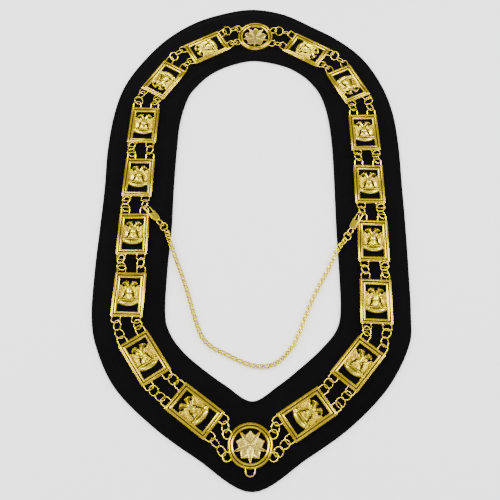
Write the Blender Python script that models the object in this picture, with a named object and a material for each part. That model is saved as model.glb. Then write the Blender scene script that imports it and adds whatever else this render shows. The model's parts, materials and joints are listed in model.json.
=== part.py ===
"""Chain of office: gilt plaques and star discs joined by jump rings, laid on a velvet collar.

The collar lies flat, worn side up, with its top toward +Y and its point toward -Y. Sixteen openwork
plaques and two star discs follow the band and are joined by two strands of rings: one ring on the
side of the neck opening and two on the outer side. A safety chain hangs in the opening from two
sprung clasps. Metres, +Z up, origin under the middle of the collar.
"""

from math import asin, cos, hypot, pi, radians, sin, sqrt

import bpy
from mathutils import Matrix, Vector
from mathutils.geometry import tessellate_polygon

# Velvet collar
COLLAR_WIDTH = 0.3055
COLLAR_LENGTH = 0.5345
COLLAR_THICKNESS = 0.003
COLLAR_EDGE_ROUND = 0.0009
COLLAR_SAMPLES = 2

# Clearance between pieces that lie on or pass through each other
CLEARANCE = 0.0003

# Plaques
PLAQUE_WIDTH = 0.030
PLAQUE_HEIGHT = 0.0448
PLAQUE_DEPTH = 0.0035
SIDE_BORDER = 0.0050
END_BORDER = 0.0056
EAGLE_HALF_HEIGHT = 0.0121
EAGLE_RAISE = 0.0014
EAGLE_BACK = 0.0010
EAGLE_PLATE = 0.0010
EAGLE_RELIEF = 0.0009
EAGLE_SOLDER = 0.0005

# Star discs
DISC_RADIUS = 0.0197
DISC_BORDER = 0.0052
DISC_SIDES = 20
STAR_LONG_RAY = 0.0160
STAR_SHORT_RAY = 0.0130
STAR_VALLEY = 0.0094
STAR_LONG_HALF_ANGLE = 15.0
STAR_BACK = 0.0008
STAR_RIM = 0.0008
STAR_RISE = 0.0018
STAR_POINTS = 5

# Wire lugs soldered to the plaque ends and the discs
LUG_WIRE = 0.00110
LUG_WIDTH = 0.0090
LUG_REACH = 0.0072
LUG_TAPER = 0.0015
LUG_CORNER = 0.0011
LUG_SPACING = PLAQUE_WIDTH - LUG_WIDTH - 2 * LUG_CORNER
LUG_HEIGHT = 0.0022
LUG_RISE = 16.0
LUG_ROOT = 0.0012

# Bail under the lower disc
BAIL_WIRE = 0.0013
BAIL_WIDTH = 0.0098
BAIL_REACH = 0.0064
BAIL_ROOT = 0.0018

# Jump rings
RING_WIRE = 0.00104
RING_DIAMETER = 0.0099
RING_SEGMENTS = 10
WIRE_SIDES = 5
RING_BITE = 0.0017
RING_DEEPEST_BITE = 0.0048
RING_AIM = 0.0030
RING_DROP = 0.0002
PAIR_FUSE = 0.0004
PAIR_LEAST_SPAN = 0.0098
SINGLE_ROLL = 44.0
PAIR_ROLL = 40.0

# The upper disc and plaque L1 lie so close that the disc's lug on the neck side passes under the plaque's
TUCKED_LUG_RISE = -2.0

# Clasps
CLASP_LENGTH = 0.0295
CLASP_WIRE = 0.0015
CLASP_LOOP_WIDTH = 0.0062
CLASP_BODY_START = 0.0115
CLASP_BODY_LENGTH = 0.0095
CLASP_BODY_THICKNESS = 0.0026
CLASP_BODY_TAPER = 0.0012
EYE_WIDTH = 0.0052
PIN_DIAMETER = 0.0009
LEVER_THICKNESS = 0.0010
LEVER_HUB = 0.0027
LEVER_BAR = 0.0012
LEVER_SETBACK = 0.0021
LEVER_INSET = 0.0012
THUMB_TAB = 0.0015
HOOK_OVERLAP_ANGLE = 62.0
HOOK_STEP_ANGLE = 21.0

# Safety chain
CHAIN_DIAMETER = 0.0038
CHAIN_SAMPLES = 2
END_RING_DIAMETER = 0.0088
END_RING_WIRE = 0.00110
END_RING_BITE = 0.0023
END_RING_PITCH = -4.0
END_RING_ROLL = 34.0

# Stations of the collar: outer and inner edge, across as shares of its width, along of its length.
BAND_STATIONS = [
    # outer across, outer along, inner across, inner along
    (-0.002, 0.500, -0.002, 0.359),
    (0.115, 0.486, 0.060, 0.354),
    (0.222, 0.450, 0.122, 0.342),
    (0.319, 0.412, 0.172, 0.323),
    (0.401, 0.363, 0.210, 0.299),
    (0.457, 0.300, 0.241, 0.266),
    (0.489, 0.231, 0.261, 0.216),
    (0.499, 0.150, 0.270, 0.145),
    (0.496, 0.051, 0.270, 0.051),
    (0.493, -0.039, 0.268, -0.035),
    (0.488, -0.122, 0.269, -0.122),
    (0.481, -0.206, 0.266, -0.200),
    (0.466, -0.262, 0.248, -0.236),
    (0.395, -0.333, 0.200, -0.269),
    (0.283, -0.397, 0.138, -0.301),
    (0.151, -0.449, 0.072, -0.331),
    (-0.005, -0.500, -0.004, -0.357),
    (-0.161, -0.449, -0.080, -0.331),
    (-0.292, -0.397, -0.150, -0.302),
    (-0.406, -0.335, -0.210, -0.272),
    (-0.470, -0.267, -0.253, -0.238),
    (-0.495, -0.209, -0.270, -0.200),
    (-0.500, -0.122, -0.270, -0.115),
    (-0.498, -0.039, -0.264, -0.036),
    (-0.496, 0.049, -0.264, 0.049),
    (-0.499, 0.140, -0.261, 0.133),
    (-0.488, 0.227, -0.254, 0.206),
    (-0.459, 0.296, -0.229, 0.266),
    (-0.401, 0.358, -0.196, 0.297),
    (-0.326, 0.414, -0.158, 0.321),
    (-0.230, 0.459, -0.112, 0.339),
    (-0.120, 0.487, -0.058, 0.352),
]

# Plaques: centre across as a share of the collar's width, along of its length, turn in degrees.
PLAQUES = [
    # name, across, along, turn
    ("L1", -0.169, 0.3895, 119.0),
    ("L2", -0.320, 0.3040, 148.2),
    ("L3", -0.380, 0.1915, -2.5),
    ("L4", -0.383, 0.0707, -1.6),
    ("L5", -0.386, -0.0500, -0.3),
    ("L6", -0.384, -0.1698, -1.5),
    ("L7", -0.322, -0.2850, 33.1),
    ("L8", -0.169, -0.3740, 52.6),
    ("R8", 0.152, -0.3800, -56.5),
    ("R7", 0.307, -0.2955, -39.7),
    ("R6", 0.3755, -0.1836, -2.6),
    ("R5", 0.382, -0.0653, -1.9),
    ("R4", 0.3845, 0.0547, -0.8),
    ("R3", 0.383, 0.1727, 1.3),
    ("R2", 0.339, 0.2920, 205.8),
    ("R1", 0.196, 0.3815, -122.2),
]
DISCS = [
    # name, across, along, turn
    ("top", 0.0086, 0.4184, -4.0),
    ("bottom", -0.0096, -0.4300, 0.0),
]
ROUND_THE_COLLAR = [
    "top", "L1", "L2", "L3", "L4", "L5", "L6", "L7", "L8",
    "bottom", "R8", "R7", "R6", "R5", "R4", "R3", "R2", "R1",
]

# Lie of the rings in the strands that meet their lugs askew: roll of each ring and pitch of the strand
# in degrees, drop of the rings below the tips of the lugs as a share of a ring's diameter.
RING_LIE = {
    # first, second, neck side: rolls, pitch, drop
    ("top", "L1", True): ((30.0,), 5.0, 0.121),
    ("L8", "bottom", True): ((48.0,), 4.0, 0.020),
    ("L8", "bottom", False): ((-50.0, 50.0), 0.0, 0.020),
}

# Moulding of the frames: distance in from the rim as a share of the border, height of the depth.
MOULDING = [
    # inset, height
    (0.00, 0.00),
    (0.00, 0.86),
    (0.26, 1.00),
    (0.58, 0.50),
    (0.94, 0.84),
    (1.00, 0.00),
]

# Right half of the eagle and its ribbon, down from the notch between the heads: across as a share of
# the window's half width, along of the eagle's half height.
EAGLE_HALF = [
    # across, along
    (0.00, 0.68),
    (0.13, 0.96),
    (0.48, 0.98),
    (0.60, 0.84),
    (0.57, 0.58),
    (0.70, 0.72),
    (1.00, 0.75),
    (1.00, -0.70),
    (0.86, -0.84),
    (0.31, -1.04),
]
TAIL_SLIT = [(0.29, 0.08), (0.60, -0.34), (0.44, -0.38)]
BREAST = [(0.0, 0.66), (0.27, 0.30), (0.0, -0.16), (-0.27, 0.30)]
RELIEF_TOP = 0.45

# Lie of the clasps, from the ring that each holds: turn, dip and roll in degrees, and the top of the
# hook from the ring's middle as shares of the ring's diameter.
CLASPS = {
    # name: held strand, turn, dip, roll, hand, offset
    "left": (("L4", "L5"), -49.1, 4.9, -27.6, 1, (0.0404, -0.2071, 0.1818)),
    "right": (("R5", "R4"), -120.0, 4.3, -28.6, -1, (-0.0909, -0.1515, 0.1616)),
}

# Route of the safety chain between its end rings, from left to right: across and along as shares of
# the collar's width and length, and how far it stands on the velvet, from 0 on the ground to 1.
CHAIN_ROUTE = [
    # across, along, on the velvet
    (-0.268, -0.064, 1.0),
    (-0.257, -0.080, 0.9),
    (-0.243, -0.102, 0.0),
    (-0.207, -0.159, 0.0),
    (-0.178, -0.213, 0.0),
    (-0.154, -0.247, 0.0),
    (-0.123, -0.265, 0.0),
    (-0.085, -0.276, 0.0),
    (-0.036, -0.290, 0.0),
    (0.013, -0.298, 0.0),
    (0.066, -0.293, 0.0),
    (0.115, -0.265, 0.0),
    (0.140, -0.237, 0.0),
    (0.175, -0.187, 0.0),
    (0.218, -0.138, 0.0),
    (0.243, -0.112, 0.1),
    (0.259, -0.092, 0.9),
    (0.270, -0.080, 1.0),
]

MATERIALS = {
    # name: colour, roughness, metallic
    "velvet": ((0.012, 0.011, 0.012), 0.95, 0.0),
    "gilt_brass": ((0.83, 0.60, 0.17), 0.28, 1.0),
    "ring_wire": ((0.86, 0.65, 0.24), 0.22, 1.0),
    "fine_chain": ((0.82, 0.66, 0.30), 0.30, 1.0),
    "clasp_gilt": ((0.84, 0.62, 0.22), 0.24, 1.0),
}

PLAQUE_BASE = COLLAR_THICKNESS + CLEARANCE
LUG_BASE = PLAQUE_BASE + LUG_HEIGHT


def clear_scene():
    """Remove whatever the file starts with."""
    for item in list(bpy.data.objects):
        bpy.data.objects.remove(item, do_unlink=True)


def material(name):
    """The named finish, made once."""
    if name in bpy.data.materials:
        return bpy.data.materials[name]
    colour, roughness, metallic = MATERIALS[name]
    made = bpy.data.materials.new(name)
    made.use_nodes = True
    shader = made.node_tree.nodes["Principled BSDF"]
    shader.inputs["Base Color"].default_value = (*colour, 1.0)
    shader.inputs["Roughness"].default_value = roughness
    shader.inputs["Metallic"].default_value = metallic
    return made


def mesh_of(name, points, faces):
    """A mesh from corner points and faces that point out."""
    mesh = bpy.data.meshes.new(name)
    mesh.from_pydata([tuple(p) for p in points], [], faces)
    mesh.validate()
    return mesh


def add_object(name, mesh, finish, matrix=None):
    """An object of the model with its own finish."""
    item = bpy.data.objects.new(name, mesh)
    bpy.context.scene.collection.objects.link(item)
    if not mesh.materials:
        mesh.materials.append(material(finish))
    if matrix is not None:
        item.matrix_world = matrix
    return item


def closed_spline(points, samples):
    """Points of a smooth closed curve through the given ones, a number of samples to each span."""
    count = len(points)
    curve = []
    for i in range(count):
        before, start, end, after = (points[(i + k) % count] for k in (-1, 0, 1, 2))
        for step in range(samples):
            curve.append(spline_point(before, start, end, after, step / samples))
    return curve


def open_spline(points, samples):
    """Points of a smooth open curve through the given ones."""
    padded = [points[0] * 2 - points[1], *points, points[-1] * 2 - points[-2]]
    curve = []
    for i in range(1, len(padded) - 2):
        for step in range(samples):
            curve.append(spline_point(*padded[i - 1:i + 3], step / samples))
    curve.append(points[-1])
    return curve


def spline_point(before, start, end, after, t):
    """Point at share t of one span of a Catmull-Rom curve."""
    slope = (end - before) / 2
    leave = (after - start) / 2
    bend = (start - end) * 2 + slope + leave
    ease = (end - start) * 3 - slope * 2 - leave
    return start + slope * t + ease * t ** 2 + bend * t ** 3


def ring_faces(count, sides, closed):
    """Faces of a tube of cross-sections that run round it anticlockwise seen from behind."""
    faces = []
    for i in range(count if closed else count - 1):
        after = (i + 1) % count
        for k in range(sides):
            side = (k + 1) % sides
            faces.append((i * sides + k, after * sides + k, after * sides + side, i * sides + side))
    if not closed:
        faces.append(tuple(range(sides)))
        faces.append(tuple(reversed(range((count - 1) * sides, count * sides))))
    return faces


def wire_mesh(name, path, normal, diameter, closed, sides=WIRE_SIDES):
    """A wire along a flat path, whose plane has the given normal."""
    count = len(path)
    points = []
    for i, centre in enumerate(path):
        ahead = path[(i + 1) % count] if closed or i < count - 1 else centre
        behind = path[i - 1] if closed or i else centre
        along = (ahead - behind).normalized()
        across = along.cross(normal).normalized()
        stretch = 1.0
        if closed or 0 < i < count - 1:
            turn = (ahead - centre).angle(centre - behind)
            stretch = 1 / cos(turn / 2)
        for k in range(sides):
            angle = 2 * pi * k / sides
            points.append(centre + (across * cos(angle) * stretch + normal * sin(angle)) * diameter / 2)
    return mesh_of(name, points, ring_faces(count, sides, closed))


def prism_mesh(name, loops, bottom, top):
    """A flat plate between two heights: the first loop is its outline, the others are holes."""
    flat = [[Vector((x, y, 0)) for x, y in loop] for loop in loops]
    corners = [corner for loop in flat for corner in loop]
    count = len(corners)
    points = [corner + Vector((0, 0, bottom)) for corner in corners]
    points += [corner + Vector((0, 0, top)) for corner in corners]
    faces = []
    for a, b, c in tessellate_polygon(flat):
        if (corners[b] - corners[a]).cross(corners[c] - corners[a]).z < 0:
            b, c = c, b
        faces.append((a + count, b + count, c + count))
        faces.append((c, b, a))
    start = 0
    for number, loop in enumerate(flat):
        size = len(loop)
        area = sum(loop[i - 1].cross(loop[i]).z for i in range(size))
        outward = (area > 0) == (number == 0)
        for i in range(size):
            a, b = start + i, start + (i + 1) % size
            if not outward:
                a, b = b, a
            faces.append((a, b, b + count, a + count))
        start += size
    return mesh_of(name, points, faces)


def raised_mesh(name, outline, share, bottom, top):
    """A low boss: the outline below, and the same outline drawn in about its middle above."""
    size = len(outline)
    middle = Vector((sum(p[0] for p in outline) / size, sum(p[1] for p in outline) / size))
    area = sum(Vector(outline[i - 1]).cross(Vector(outline[i])) for i in range(size))
    order = outline if area > 0 else outline[::-1]
    points = [(x, y, bottom) for x, y in order]
    for corner in order:
        drawn = middle + (Vector(corner) - middle) * share
        points.append((drawn.x, drawn.y, top))
    faces = [tuple(reversed(range(size))), tuple(range(size, 2 * size))]
    faces += [(i, (i + 1) % size, (i + 1) % size + size, i + size) for i in range(size)]
    return mesh_of(name, points, faces)


def combined(name, base, tools):
    """One mesh from a base mesh and (mesh, operation) pairs, worked by Boolean modifiers in turn."""
    body = bpy.data.objects.new(name, base)
    helpers = [body]
    bpy.context.scene.collection.objects.link(body)
    for number, (mesh, operation) in enumerate(tools):
        tool = bpy.data.objects.new(f"{name}_tool_{number}", mesh)
        tool.hide_render = True
        tool.display_type = "WIRE"
        bpy.context.scene.collection.objects.link(tool)
        helpers.append(tool)
        step = body.modifiers.new(f"step_{number}", "BOOLEAN")
        step.operation = operation
        step.solver = "EXACT"
        step.object = tool
    bpy.context.view_layer.update()
    worked = body.evaluated_get(bpy.context.evaluated_depsgraph_get())
    mesh = bpy.data.meshes.new_from_object(worked)
    mesh.name = name
    for helper in helpers:
        bpy.data.objects.remove(helper, do_unlink=True)
    return mesh


def joined(name, meshes):
    """One mesh from overlapping ones."""
    return combined(name, meshes[0], [(mesh, "UNION") for mesh in meshes[1:]])


def place(turn, x, y, z):
    """Matrix that turns a flat piece about Z and puts it at a point."""
    return Matrix.Translation((x, y, z)) @ Matrix.Rotation(turn, 4, "Z")


def velvet_collar():
    """The padded velvet band: a rounded cross-section carried round the neck opening."""
    stations = [Vector(row) for row in BAND_STATIONS]
    points = []
    curve = closed_spline(stations, COLLAR_SAMPLES)
    for outer_x, outer_y, inner_x, inner_y in curve:
        outer = Vector((outer_x * COLLAR_WIDTH, outer_y * COLLAR_LENGTH, 0))
        inner = Vector((inner_x * COLLAR_WIDTH, inner_y * COLLAR_LENGTH, 0))
        inward = (inner - outer).normalized() * COLLAR_EDGE_ROUND
        top = Vector((0, 0, COLLAR_THICKNESS))
        points += [outer + inward, inner - inward, inner + top / 2]
        points += [inner - inward + top, outer + inward + top, outer + top / 2]
    mesh = mesh_of("velvet_collar", points, ring_faces(len(curve), 6, True))
    add_object("velvet_collar", mesh, "velvet")


def lug_path(roots):
    """The bent wire of a lug in its own plane: out along X, across along Y, drawn in to its tip."""
    half = (LUG_WIDTH - LUG_WIRE) / 2
    tip = LUG_REACH - LUG_WIRE / 2
    return [(-roots[0], -half), (tip, LUG_TAPER - half), (tip, half - LUG_TAPER), (-roots[1], half)]


def lug_mesh(base, outward, roots=(LUG_ROOT, LUG_ROOT), rise=LUG_RISE):
    """A wire lug that rises from its base point; its legs reach back by their roots."""
    rise = radians(rise)
    out = Vector((outward.x * cos(rise), outward.y * cos(rise), sin(rise)))
    side = Vector((-outward.y, outward.x, 0))
    start = Vector((base.x, base.y, LUG_HEIGHT))
    path = [start + out * x + side * y for x, y in lug_path(roots)]
    return wire_mesh("lug", path, out.cross(side), LUG_WIRE, False)


def frame_mesh():
    """The moulded frame of a plaque, with mitred corners."""
    points = []
    for x_side, y_side in ((1, 1), (-1, 1), (-1, -1), (1, -1)):
        for inset, height in MOULDING:
            x = x_side * (PLAQUE_WIDTH / 2 - inset * SIDE_BORDER)
            y = y_side * (PLAQUE_HEIGHT / 2 - inset * END_BORDER)
            points.append((x, y, height * PLAQUE_DEPTH))
    return mesh_of("frame", points, ring_faces(4, len(MOULDING), True))


def eagle_meshes():
    """The pierced two-headed eagle over its ribbon, and the breast raised on it."""
    half_width = PLAQUE_WIDTH / 2 - SIDE_BORDER
    reach = (half_width + EAGLE_SOLDER) / half_width

    def scaled(points, side=1):
        across = half_width * side
        rise = EAGLE_HALF_HEIGHT
        return [((reach if x == 1.0 else x) * across, y * rise + EAGLE_RAISE) for x, y in points]

    outline = scaled(EAGLE_HALF) + scaled(EAGLE_HALF[1:], -1)[::-1]
    front = EAGLE_BACK + EAGLE_PLATE
    inside = EAGLE_BACK + EAGLE_PLATE / 2
    plate = prism_mesh("eagle", [outline, scaled(TAIL_SLIT), scaled(TAIL_SLIT, -1)], EAGLE_BACK, front)
    breast = raised_mesh("breast", scaled(BREAST), RELIEF_TOP, inside, front + EAGLE_RELIEF)
    return [plate, breast]


def plaque_mesh():
    """A plaque in its own frame, its underside at height 0: frame, eagle and four lugs."""
    lugs = []
    for end in (1, -1):
        for side in (1, -1):
            base = Vector((side * LUG_SPACING / 2, end * PLAQUE_HEIGHT / 2))
            lugs.append(lug_mesh(base, Vector((0, end))))
    return joined("plaque", [frame_mesh(), *eagle_meshes(), *lugs])


def star_mesh():
    """The ridged star of a disc: long rays onto the rim, short broad rays between them."""
    rays = []
    half_turn = 180 / STAR_POINTS
    for number in range(STAR_POINTS):
        long_ray = -90 + number * 2 * half_turn
        rays.append((long_ray, STAR_LONG_RAY, STAR_RIM))
        rays.append((long_ray + STAR_LONG_HALF_ANGLE, STAR_VALLEY, STAR_RIM / 2))
        rays.append((long_ray + half_turn, STAR_SHORT_RAY, STAR_RIM))
        rays.append((long_ray + 2 * half_turn - STAR_LONG_HALF_ANGLE, STAR_VALLEY, STAR_RIM / 2))
    count = len(rays)
    points = []
    for angle, radius, _ in rays:
        points.append((radius * cos(radians(angle)), radius * sin(radians(angle)), STAR_BACK))
    for angle, radius, edge in rays:
        points.append((radius * cos(radians(angle)), radius * sin(radians(angle)), STAR_BACK + edge))
    points += [(0, 0, STAR_BACK), (0, 0, STAR_BACK + STAR_RISE)]
    faces = []
    for i in range(count):
        after = (i + 1) % count
        faces.append((i, after, after + count, i + count))
        faces.append((after, i, 2 * count))
        faces.append((i + count, after + count, 2 * count + 1))
    return mesh_of("star", points, faces)


def rim_mesh():
    """The moulded round rim of a disc."""
    points = []
    for i in range(DISC_SIDES):
        angle = 2 * pi * (i + 0.5) / DISC_SIDES
        for inset, height in MOULDING:
            radius = DISC_RADIUS - inset * DISC_BORDER
            points.append((radius * cos(angle), radius * sin(angle), height * PLAQUE_DEPTH))
    return mesh_of("rim", points, ring_faces(DISC_SIDES, len(MOULDING), True))


def bail_mesh():
    """The fixed bail under the lower disc, for a pendant jewel."""
    half = (BAIL_WIDTH - BAIL_WIRE) / 2
    tip = -DISC_RADIUS - BAIL_REACH + BAIL_WIRE / 2
    path = [Vector((-half, -DISC_RADIUS + BAIL_ROOT, LUG_HEIGHT)), Vector((-half, tip + half, LUG_HEIGHT))]
    steps = 4
    for step in range(1, steps):
        angle = pi * step / steps
        path.append(Vector((-half * cos(angle), tip + half - half * sin(angle), LUG_HEIGHT)))
    path += [Vector((half, tip + half, LUG_HEIGHT)), Vector((half, path[0].y, LUG_HEIGHT))]
    return wire_mesh("bail", path, Vector((0, 0, 1)), BAIL_WIRE, False)


def disc_lug_reach():
    """Distance of a disc's lug bases from its middle line."""
    return sqrt(DISC_RADIUS ** 2 - (LUG_SPACING / 2) ** 2)


def disc_lugs(name):
    """The two pairs of lugs of a disc, straight across it; each leg reaches back into the round rim."""
    lugs = []
    half = (LUG_WIDTH - LUG_WIRE) / 2
    for end in (1, -1):
        for side in (1, -1):
            base = Vector((end * disc_lug_reach(), side * LUG_SPACING / 2))
            roots = []
            for leg in (-half, half):
                rim = sqrt(DISC_RADIUS ** 2 - (base.y + end * leg) ** 2)
                roots.append(disc_lug_reach() - rim + LUG_ROOT)
            tucked = name == "top" and end < 0 and side < 0
            rise = TUCKED_LUG_RISE if tucked else LUG_RISE
            lugs.append(lug_mesh(base, Vector((end, 0)), roots, rise))
    return lugs


def disc_mesh(name):
    """A star disc in its own frame: rim, star, two pairs of lugs, and a bail on the lower one."""
    lugs = disc_lugs(name)
    extra = [bail_mesh()] if name == "bottom" else []
    return joined(f"{name}_disc", [rim_mesh(), star_mesh(), *lugs, *extra])


def centre_of(name):
    """Centre of a plaque or disc on the collar."""
    across, along = next(row[1:3] for row in (*PLAQUES, *DISCS) if row[0] == name)
    return Vector((across * COLLAR_WIDTH, along * COLLAR_LENGTH))


def facing_lugs(name, other):
    """The two lugs of a piece that face another: (base point, outward), the neck side first.

    The lugs of a plaque point along it, those of a disc straight across it.
    """
    centre = centre_of(name)
    turn = radians(next(row[3] for row in (*PLAQUES, *DISCS) if row[0] == name))
    if any(row[0] == name for row in DISCS):
        line, reach = Vector((cos(turn), sin(turn))), disc_lug_reach()
    else:
        line, reach = Vector((-sin(turn), cos(turn))), PLAQUE_HEIGHT / 2
    outward = line if (centre_of(other) - centre).dot(line) > 0 else -line
    base = centre + outward * reach
    side = Vector((-outward.y, outward.x)) * LUG_SPACING / 2
    pair = [(base - side, outward), (base + side, outward)]
    return sorted(pair, key=lambda lug: lug[0].length)


def strand_rings(first, second, inner):
    """Rings of one strand: (centre, along, length, width, roll, pitch) of each, from its lugs.

    The line of the strand runs between two points inside the lugs. The rings share it evenly, each
    with a bite on the next; when the lugs are close, the end rings lie deeper in them.
    """
    which = 0 if inner else 1
    lug_a = facing_lugs(first, second)[which]
    lug_b = facing_lugs(second, first)[which]
    tip = LUG_REACH - LUG_WIRE / 2
    aim = (tip - RING_AIM) * cos(radians(LUG_RISE))
    start, end = lug_a[0] + lug_a[1] * aim, lug_b[0] + lug_b[1] * aim
    span = (end - start).length
    along = (end - start) / span
    number = 1 if inner or span < PAIR_LEAST_SPAN else 2
    size = RING_DIAMETER - RING_WIRE
    overlap = (RING_WIRE - PAIR_FUSE) * (number - 1)
    spare = (number * size - overlap - span) / 2
    spare = min(max(spare, RING_BITE - RING_AIM), RING_DEEPEST_BITE - RING_AIM)
    length = (span + 2 * spare + overlap) / number
    even_lie = ((SINGLE_ROLL,) if inner else (PAIR_ROLL, -PAIR_ROLL), 0.0, RING_DROP / RING_DIAMETER)
    rolls, pitch, drop = RING_LIE.get((first, second, inner), even_lie)
    height = LUG_BASE + tip * sin(radians(LUG_RISE)) - drop * RING_DIAMETER
    rings = []
    for index in range(number):
        place_along = -spare + length / 2 + index * (length - overlap)
        centre = start + along * place_along
        lie = radians(rolls[index]), radians(pitch)
        rings.append((Vector((*centre, height)), along, length, min(size, length), *lie))
    return rings


def ring_path(centre, along, length, width, roll, pitch=0.0, segments=RING_SEGMENTS):
    """Points round a ring and its normal: its long axis lies along, its plane is rolled about it."""
    long_axis = Vector((along.x * cos(pitch), along.y * cos(pitch), sin(pitch)))
    level = Vector((-along.y, along.x, 0))
    across = level * cos(roll) + long_axis.cross(level) * sin(roll)
    path = []
    for i in range(segments):
        angle = 2 * pi * i / segments
        path.append(centre + long_axis * cos(angle) * length / 2 + across * sin(angle) * width / 2)
    return path, long_axis.cross(across)


def ring_strand(first, second, inner):
    """One strand of rings between two pieces; a pair of rings is fused where they bear."""
    meshes = [wire_mesh("ring", *ring_path(*ring), RING_WIRE, True)
              for ring in strand_rings(first, second, inner)]
    name = f"links_{first}_{second}_{'inner' if inner else 'outer'}"
    mesh = joined(name, meshes) if len(meshes) > 1 else meshes[0]
    add_object(name, mesh, "ring_wire")


def clasp_axes(turn, dip, roll, hand):
    """Axes of a clasp: from its hook to its eye, toward its lever, and out of its face."""
    turn, dip, roll = radians(turn), radians(dip), radians(roll)
    along = Vector((cos(turn) * cos(dip), sin(turn) * cos(dip), -sin(dip)))
    level = Vector((0, 0, 1)).cross(along).normalized()
    across = level * cos(roll) * hand + along.cross(level) * sin(roll)
    return along, across, along.cross(across)


def clasp_matrix(name):
    """Where a clasp lies: its hook through the ring that it holds."""
    held, turn, dip, roll, hand, offset = CLASPS[name]
    ring = strand_rings(*held, True)[0]
    along, across, face = clasp_axes(turn, dip, roll, hand)
    matrix = Matrix((along, across, face)).transposed().to_4x4()
    matrix.translation = ring[0] + Vector(offset) * RING_DIAMETER
    return matrix


def hook_path():
    """Centreline of the hook: from inside the body, along its bar, round its top to its tip."""
    half = CLASP_LOOP_WIDTH / 2
    middle = CLASP_WIRE / 2 + half
    path = [Vector((CLASP_BODY_START + CLASP_WIRE, -half + CLASP_WIRE / 4, 0)), Vector((middle, -half, 0))]
    angle = -90 + HOOK_STEP_ANGLE
    while angle < HOOK_OVERLAP_ANGLE:
        path.append(Vector((middle - half * cos(radians(angle)), half * sin(radians(angle)), 0)))
        angle += HOOK_STEP_ANGLE
    end = radians(HOOK_OVERLAP_ANGLE)
    path.append(Vector((middle - half * cos(end), half * sin(end), 0)))
    return path


def pivot_point():
    """Centre of the lever's pin in the plane of the clasp."""
    return Vector((CLASP_BODY_START + LEVER_SETBACK, CLASP_LOOP_WIDTH / 2 - LEVER_INSET, 0))


def clasp_body_mesh():
    """The sprung clasp without its lever: hook, forked body with the pin, and eye."""
    half = CLASP_LOOP_WIDTH / 2
    wide = half + CLASP_WIRE / 2
    end = CLASP_BODY_START + CLASP_BODY_LENGTH
    thick = CLASP_BODY_THICKNESS / 2
    bow = CLASP_BODY_LENGTH * 0.45
    outline = [(CLASP_BODY_START, -wide), (end - bow, -wide), (end, -wide + CLASP_BODY_TAPER),
               (end, wide - CLASP_BODY_TAPER), (end - bow, wide), (CLASP_BODY_START, wide)]
    body = prism_mesh("body", [outline], -thick, thick)
    hook = wire_mesh("hook", hook_path(), Vector((0, 0, 1)), CLASP_WIRE, False)
    pivot = pivot_point()
    slot_floor = pivot.y - LEVER_HUB / 2 - CLEARANCE
    slot_end = pivot.x + LEVER_HUB / 2 + CLEARANCE
    gap = LEVER_THICKNESS / 2 + CLEARANCE
    opening = 2 * CLASP_WIRE
    slot = [(CLASP_BODY_START - opening, slot_floor), (slot_end, slot_floor),
            (slot_end, wide + opening), (CLASP_BODY_START - opening, wide + opening)]
    cutter = prism_mesh("slot", [slot], -gap, gap)
    pin = prism_mesh("pin", [round_outline(pivot, PIN_DIAMETER, 6)], -thick + CLEARANCE, thick - CLEARANCE)
    eye_end = CLASP_LENGTH - CLASP_WIRE / 2
    eye_start = end - CLASP_WIRE / 4
    middle = Vector(((eye_start + eye_end) / 2, 0, 0))
    eye_path = []
    for i in range(RING_SEGMENTS):
        angle = 2 * pi * i / RING_SEGMENTS
        out, across = (eye_end - eye_start) / 2 * cos(angle), EYE_WIDTH / 2 * sin(angle)
        eye_path.append(middle + Vector((out, across, 0)))
    eye = wire_mesh("eye", eye_path, Vector((0, 0, 1)), CLASP_WIRE, True)
    steps = [(eye, "UNION"), (cutter, "DIFFERENCE"), (hook, "UNION"), (pin, "UNION")]
    return combined("clasp_body", body, steps)


def round_outline(centre, diameter, sides):
    """A regular outline about a point."""
    angles = [2 * pi * i / sides for i in range(sides)]
    return [(centre.x + diameter / 2 * cos(a), centre.y + diameter / 2 * sin(a)) for a in angles]


def lever_mesh():
    """The lever in the plane of the clasp, about its pin: hub, bar to the hook's tip, thumb tab."""
    pivot = pivot_point()
    half = CLASP_LOOP_WIDTH / 2
    hook_end = hook_path()[-1]
    tip = hook_end.x + CLASP_WIRE / 2 + CLEARANCE - pivot.x
    outer = half + LEVER_BAR / 2 - pivot.y
    inner = half - LEVER_BAR / 2 - pivot.y
    hub = LEVER_HUB / 2
    body_face = CLASP_BODY_START - pivot.x
    outline = [(tip, inner), (-hub, inner - LEVER_BAR / 4), (-hub * 0.7, -hub * 0.7), (0, -hub),
               (hub * 0.7, -hub * 0.7), (hub, 0), (hub * 0.7, hub * 0.7), (0, outer),
               (body_face + THUMB_TAB, outer + THUMB_TAB), (body_face, outer + THUMB_TAB),
               (body_face - THUMB_TAB, outer), (tip, outer)]
    hole = round_outline(Vector((0, 0)), PIN_DIAMETER + 2 * CLEARANCE, 8)
    thick = LEVER_THICKNESS / 2
    return prism_mesh("lever", [outline, hole], -thick, thick)


def clasps():
    """Both clasps where they lie, each lever on an empty at its pin."""
    for name in CLASPS:
        matrix = clasp_matrix(name)
        add_object(f"clasp_{name}", clasp_body_mesh(), "clasp_gilt", matrix)
        hinge = bpy.data.objects.new(f"clasp_{name}_hinge", None)
        bpy.context.scene.collection.objects.link(hinge)
        hinge.matrix_world = matrix @ Matrix.Translation(pivot_point())
        lever = add_object(f"clasp_{name}_lever", lever_mesh(), "clasp_gilt")
        lever.parent = hinge


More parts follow.
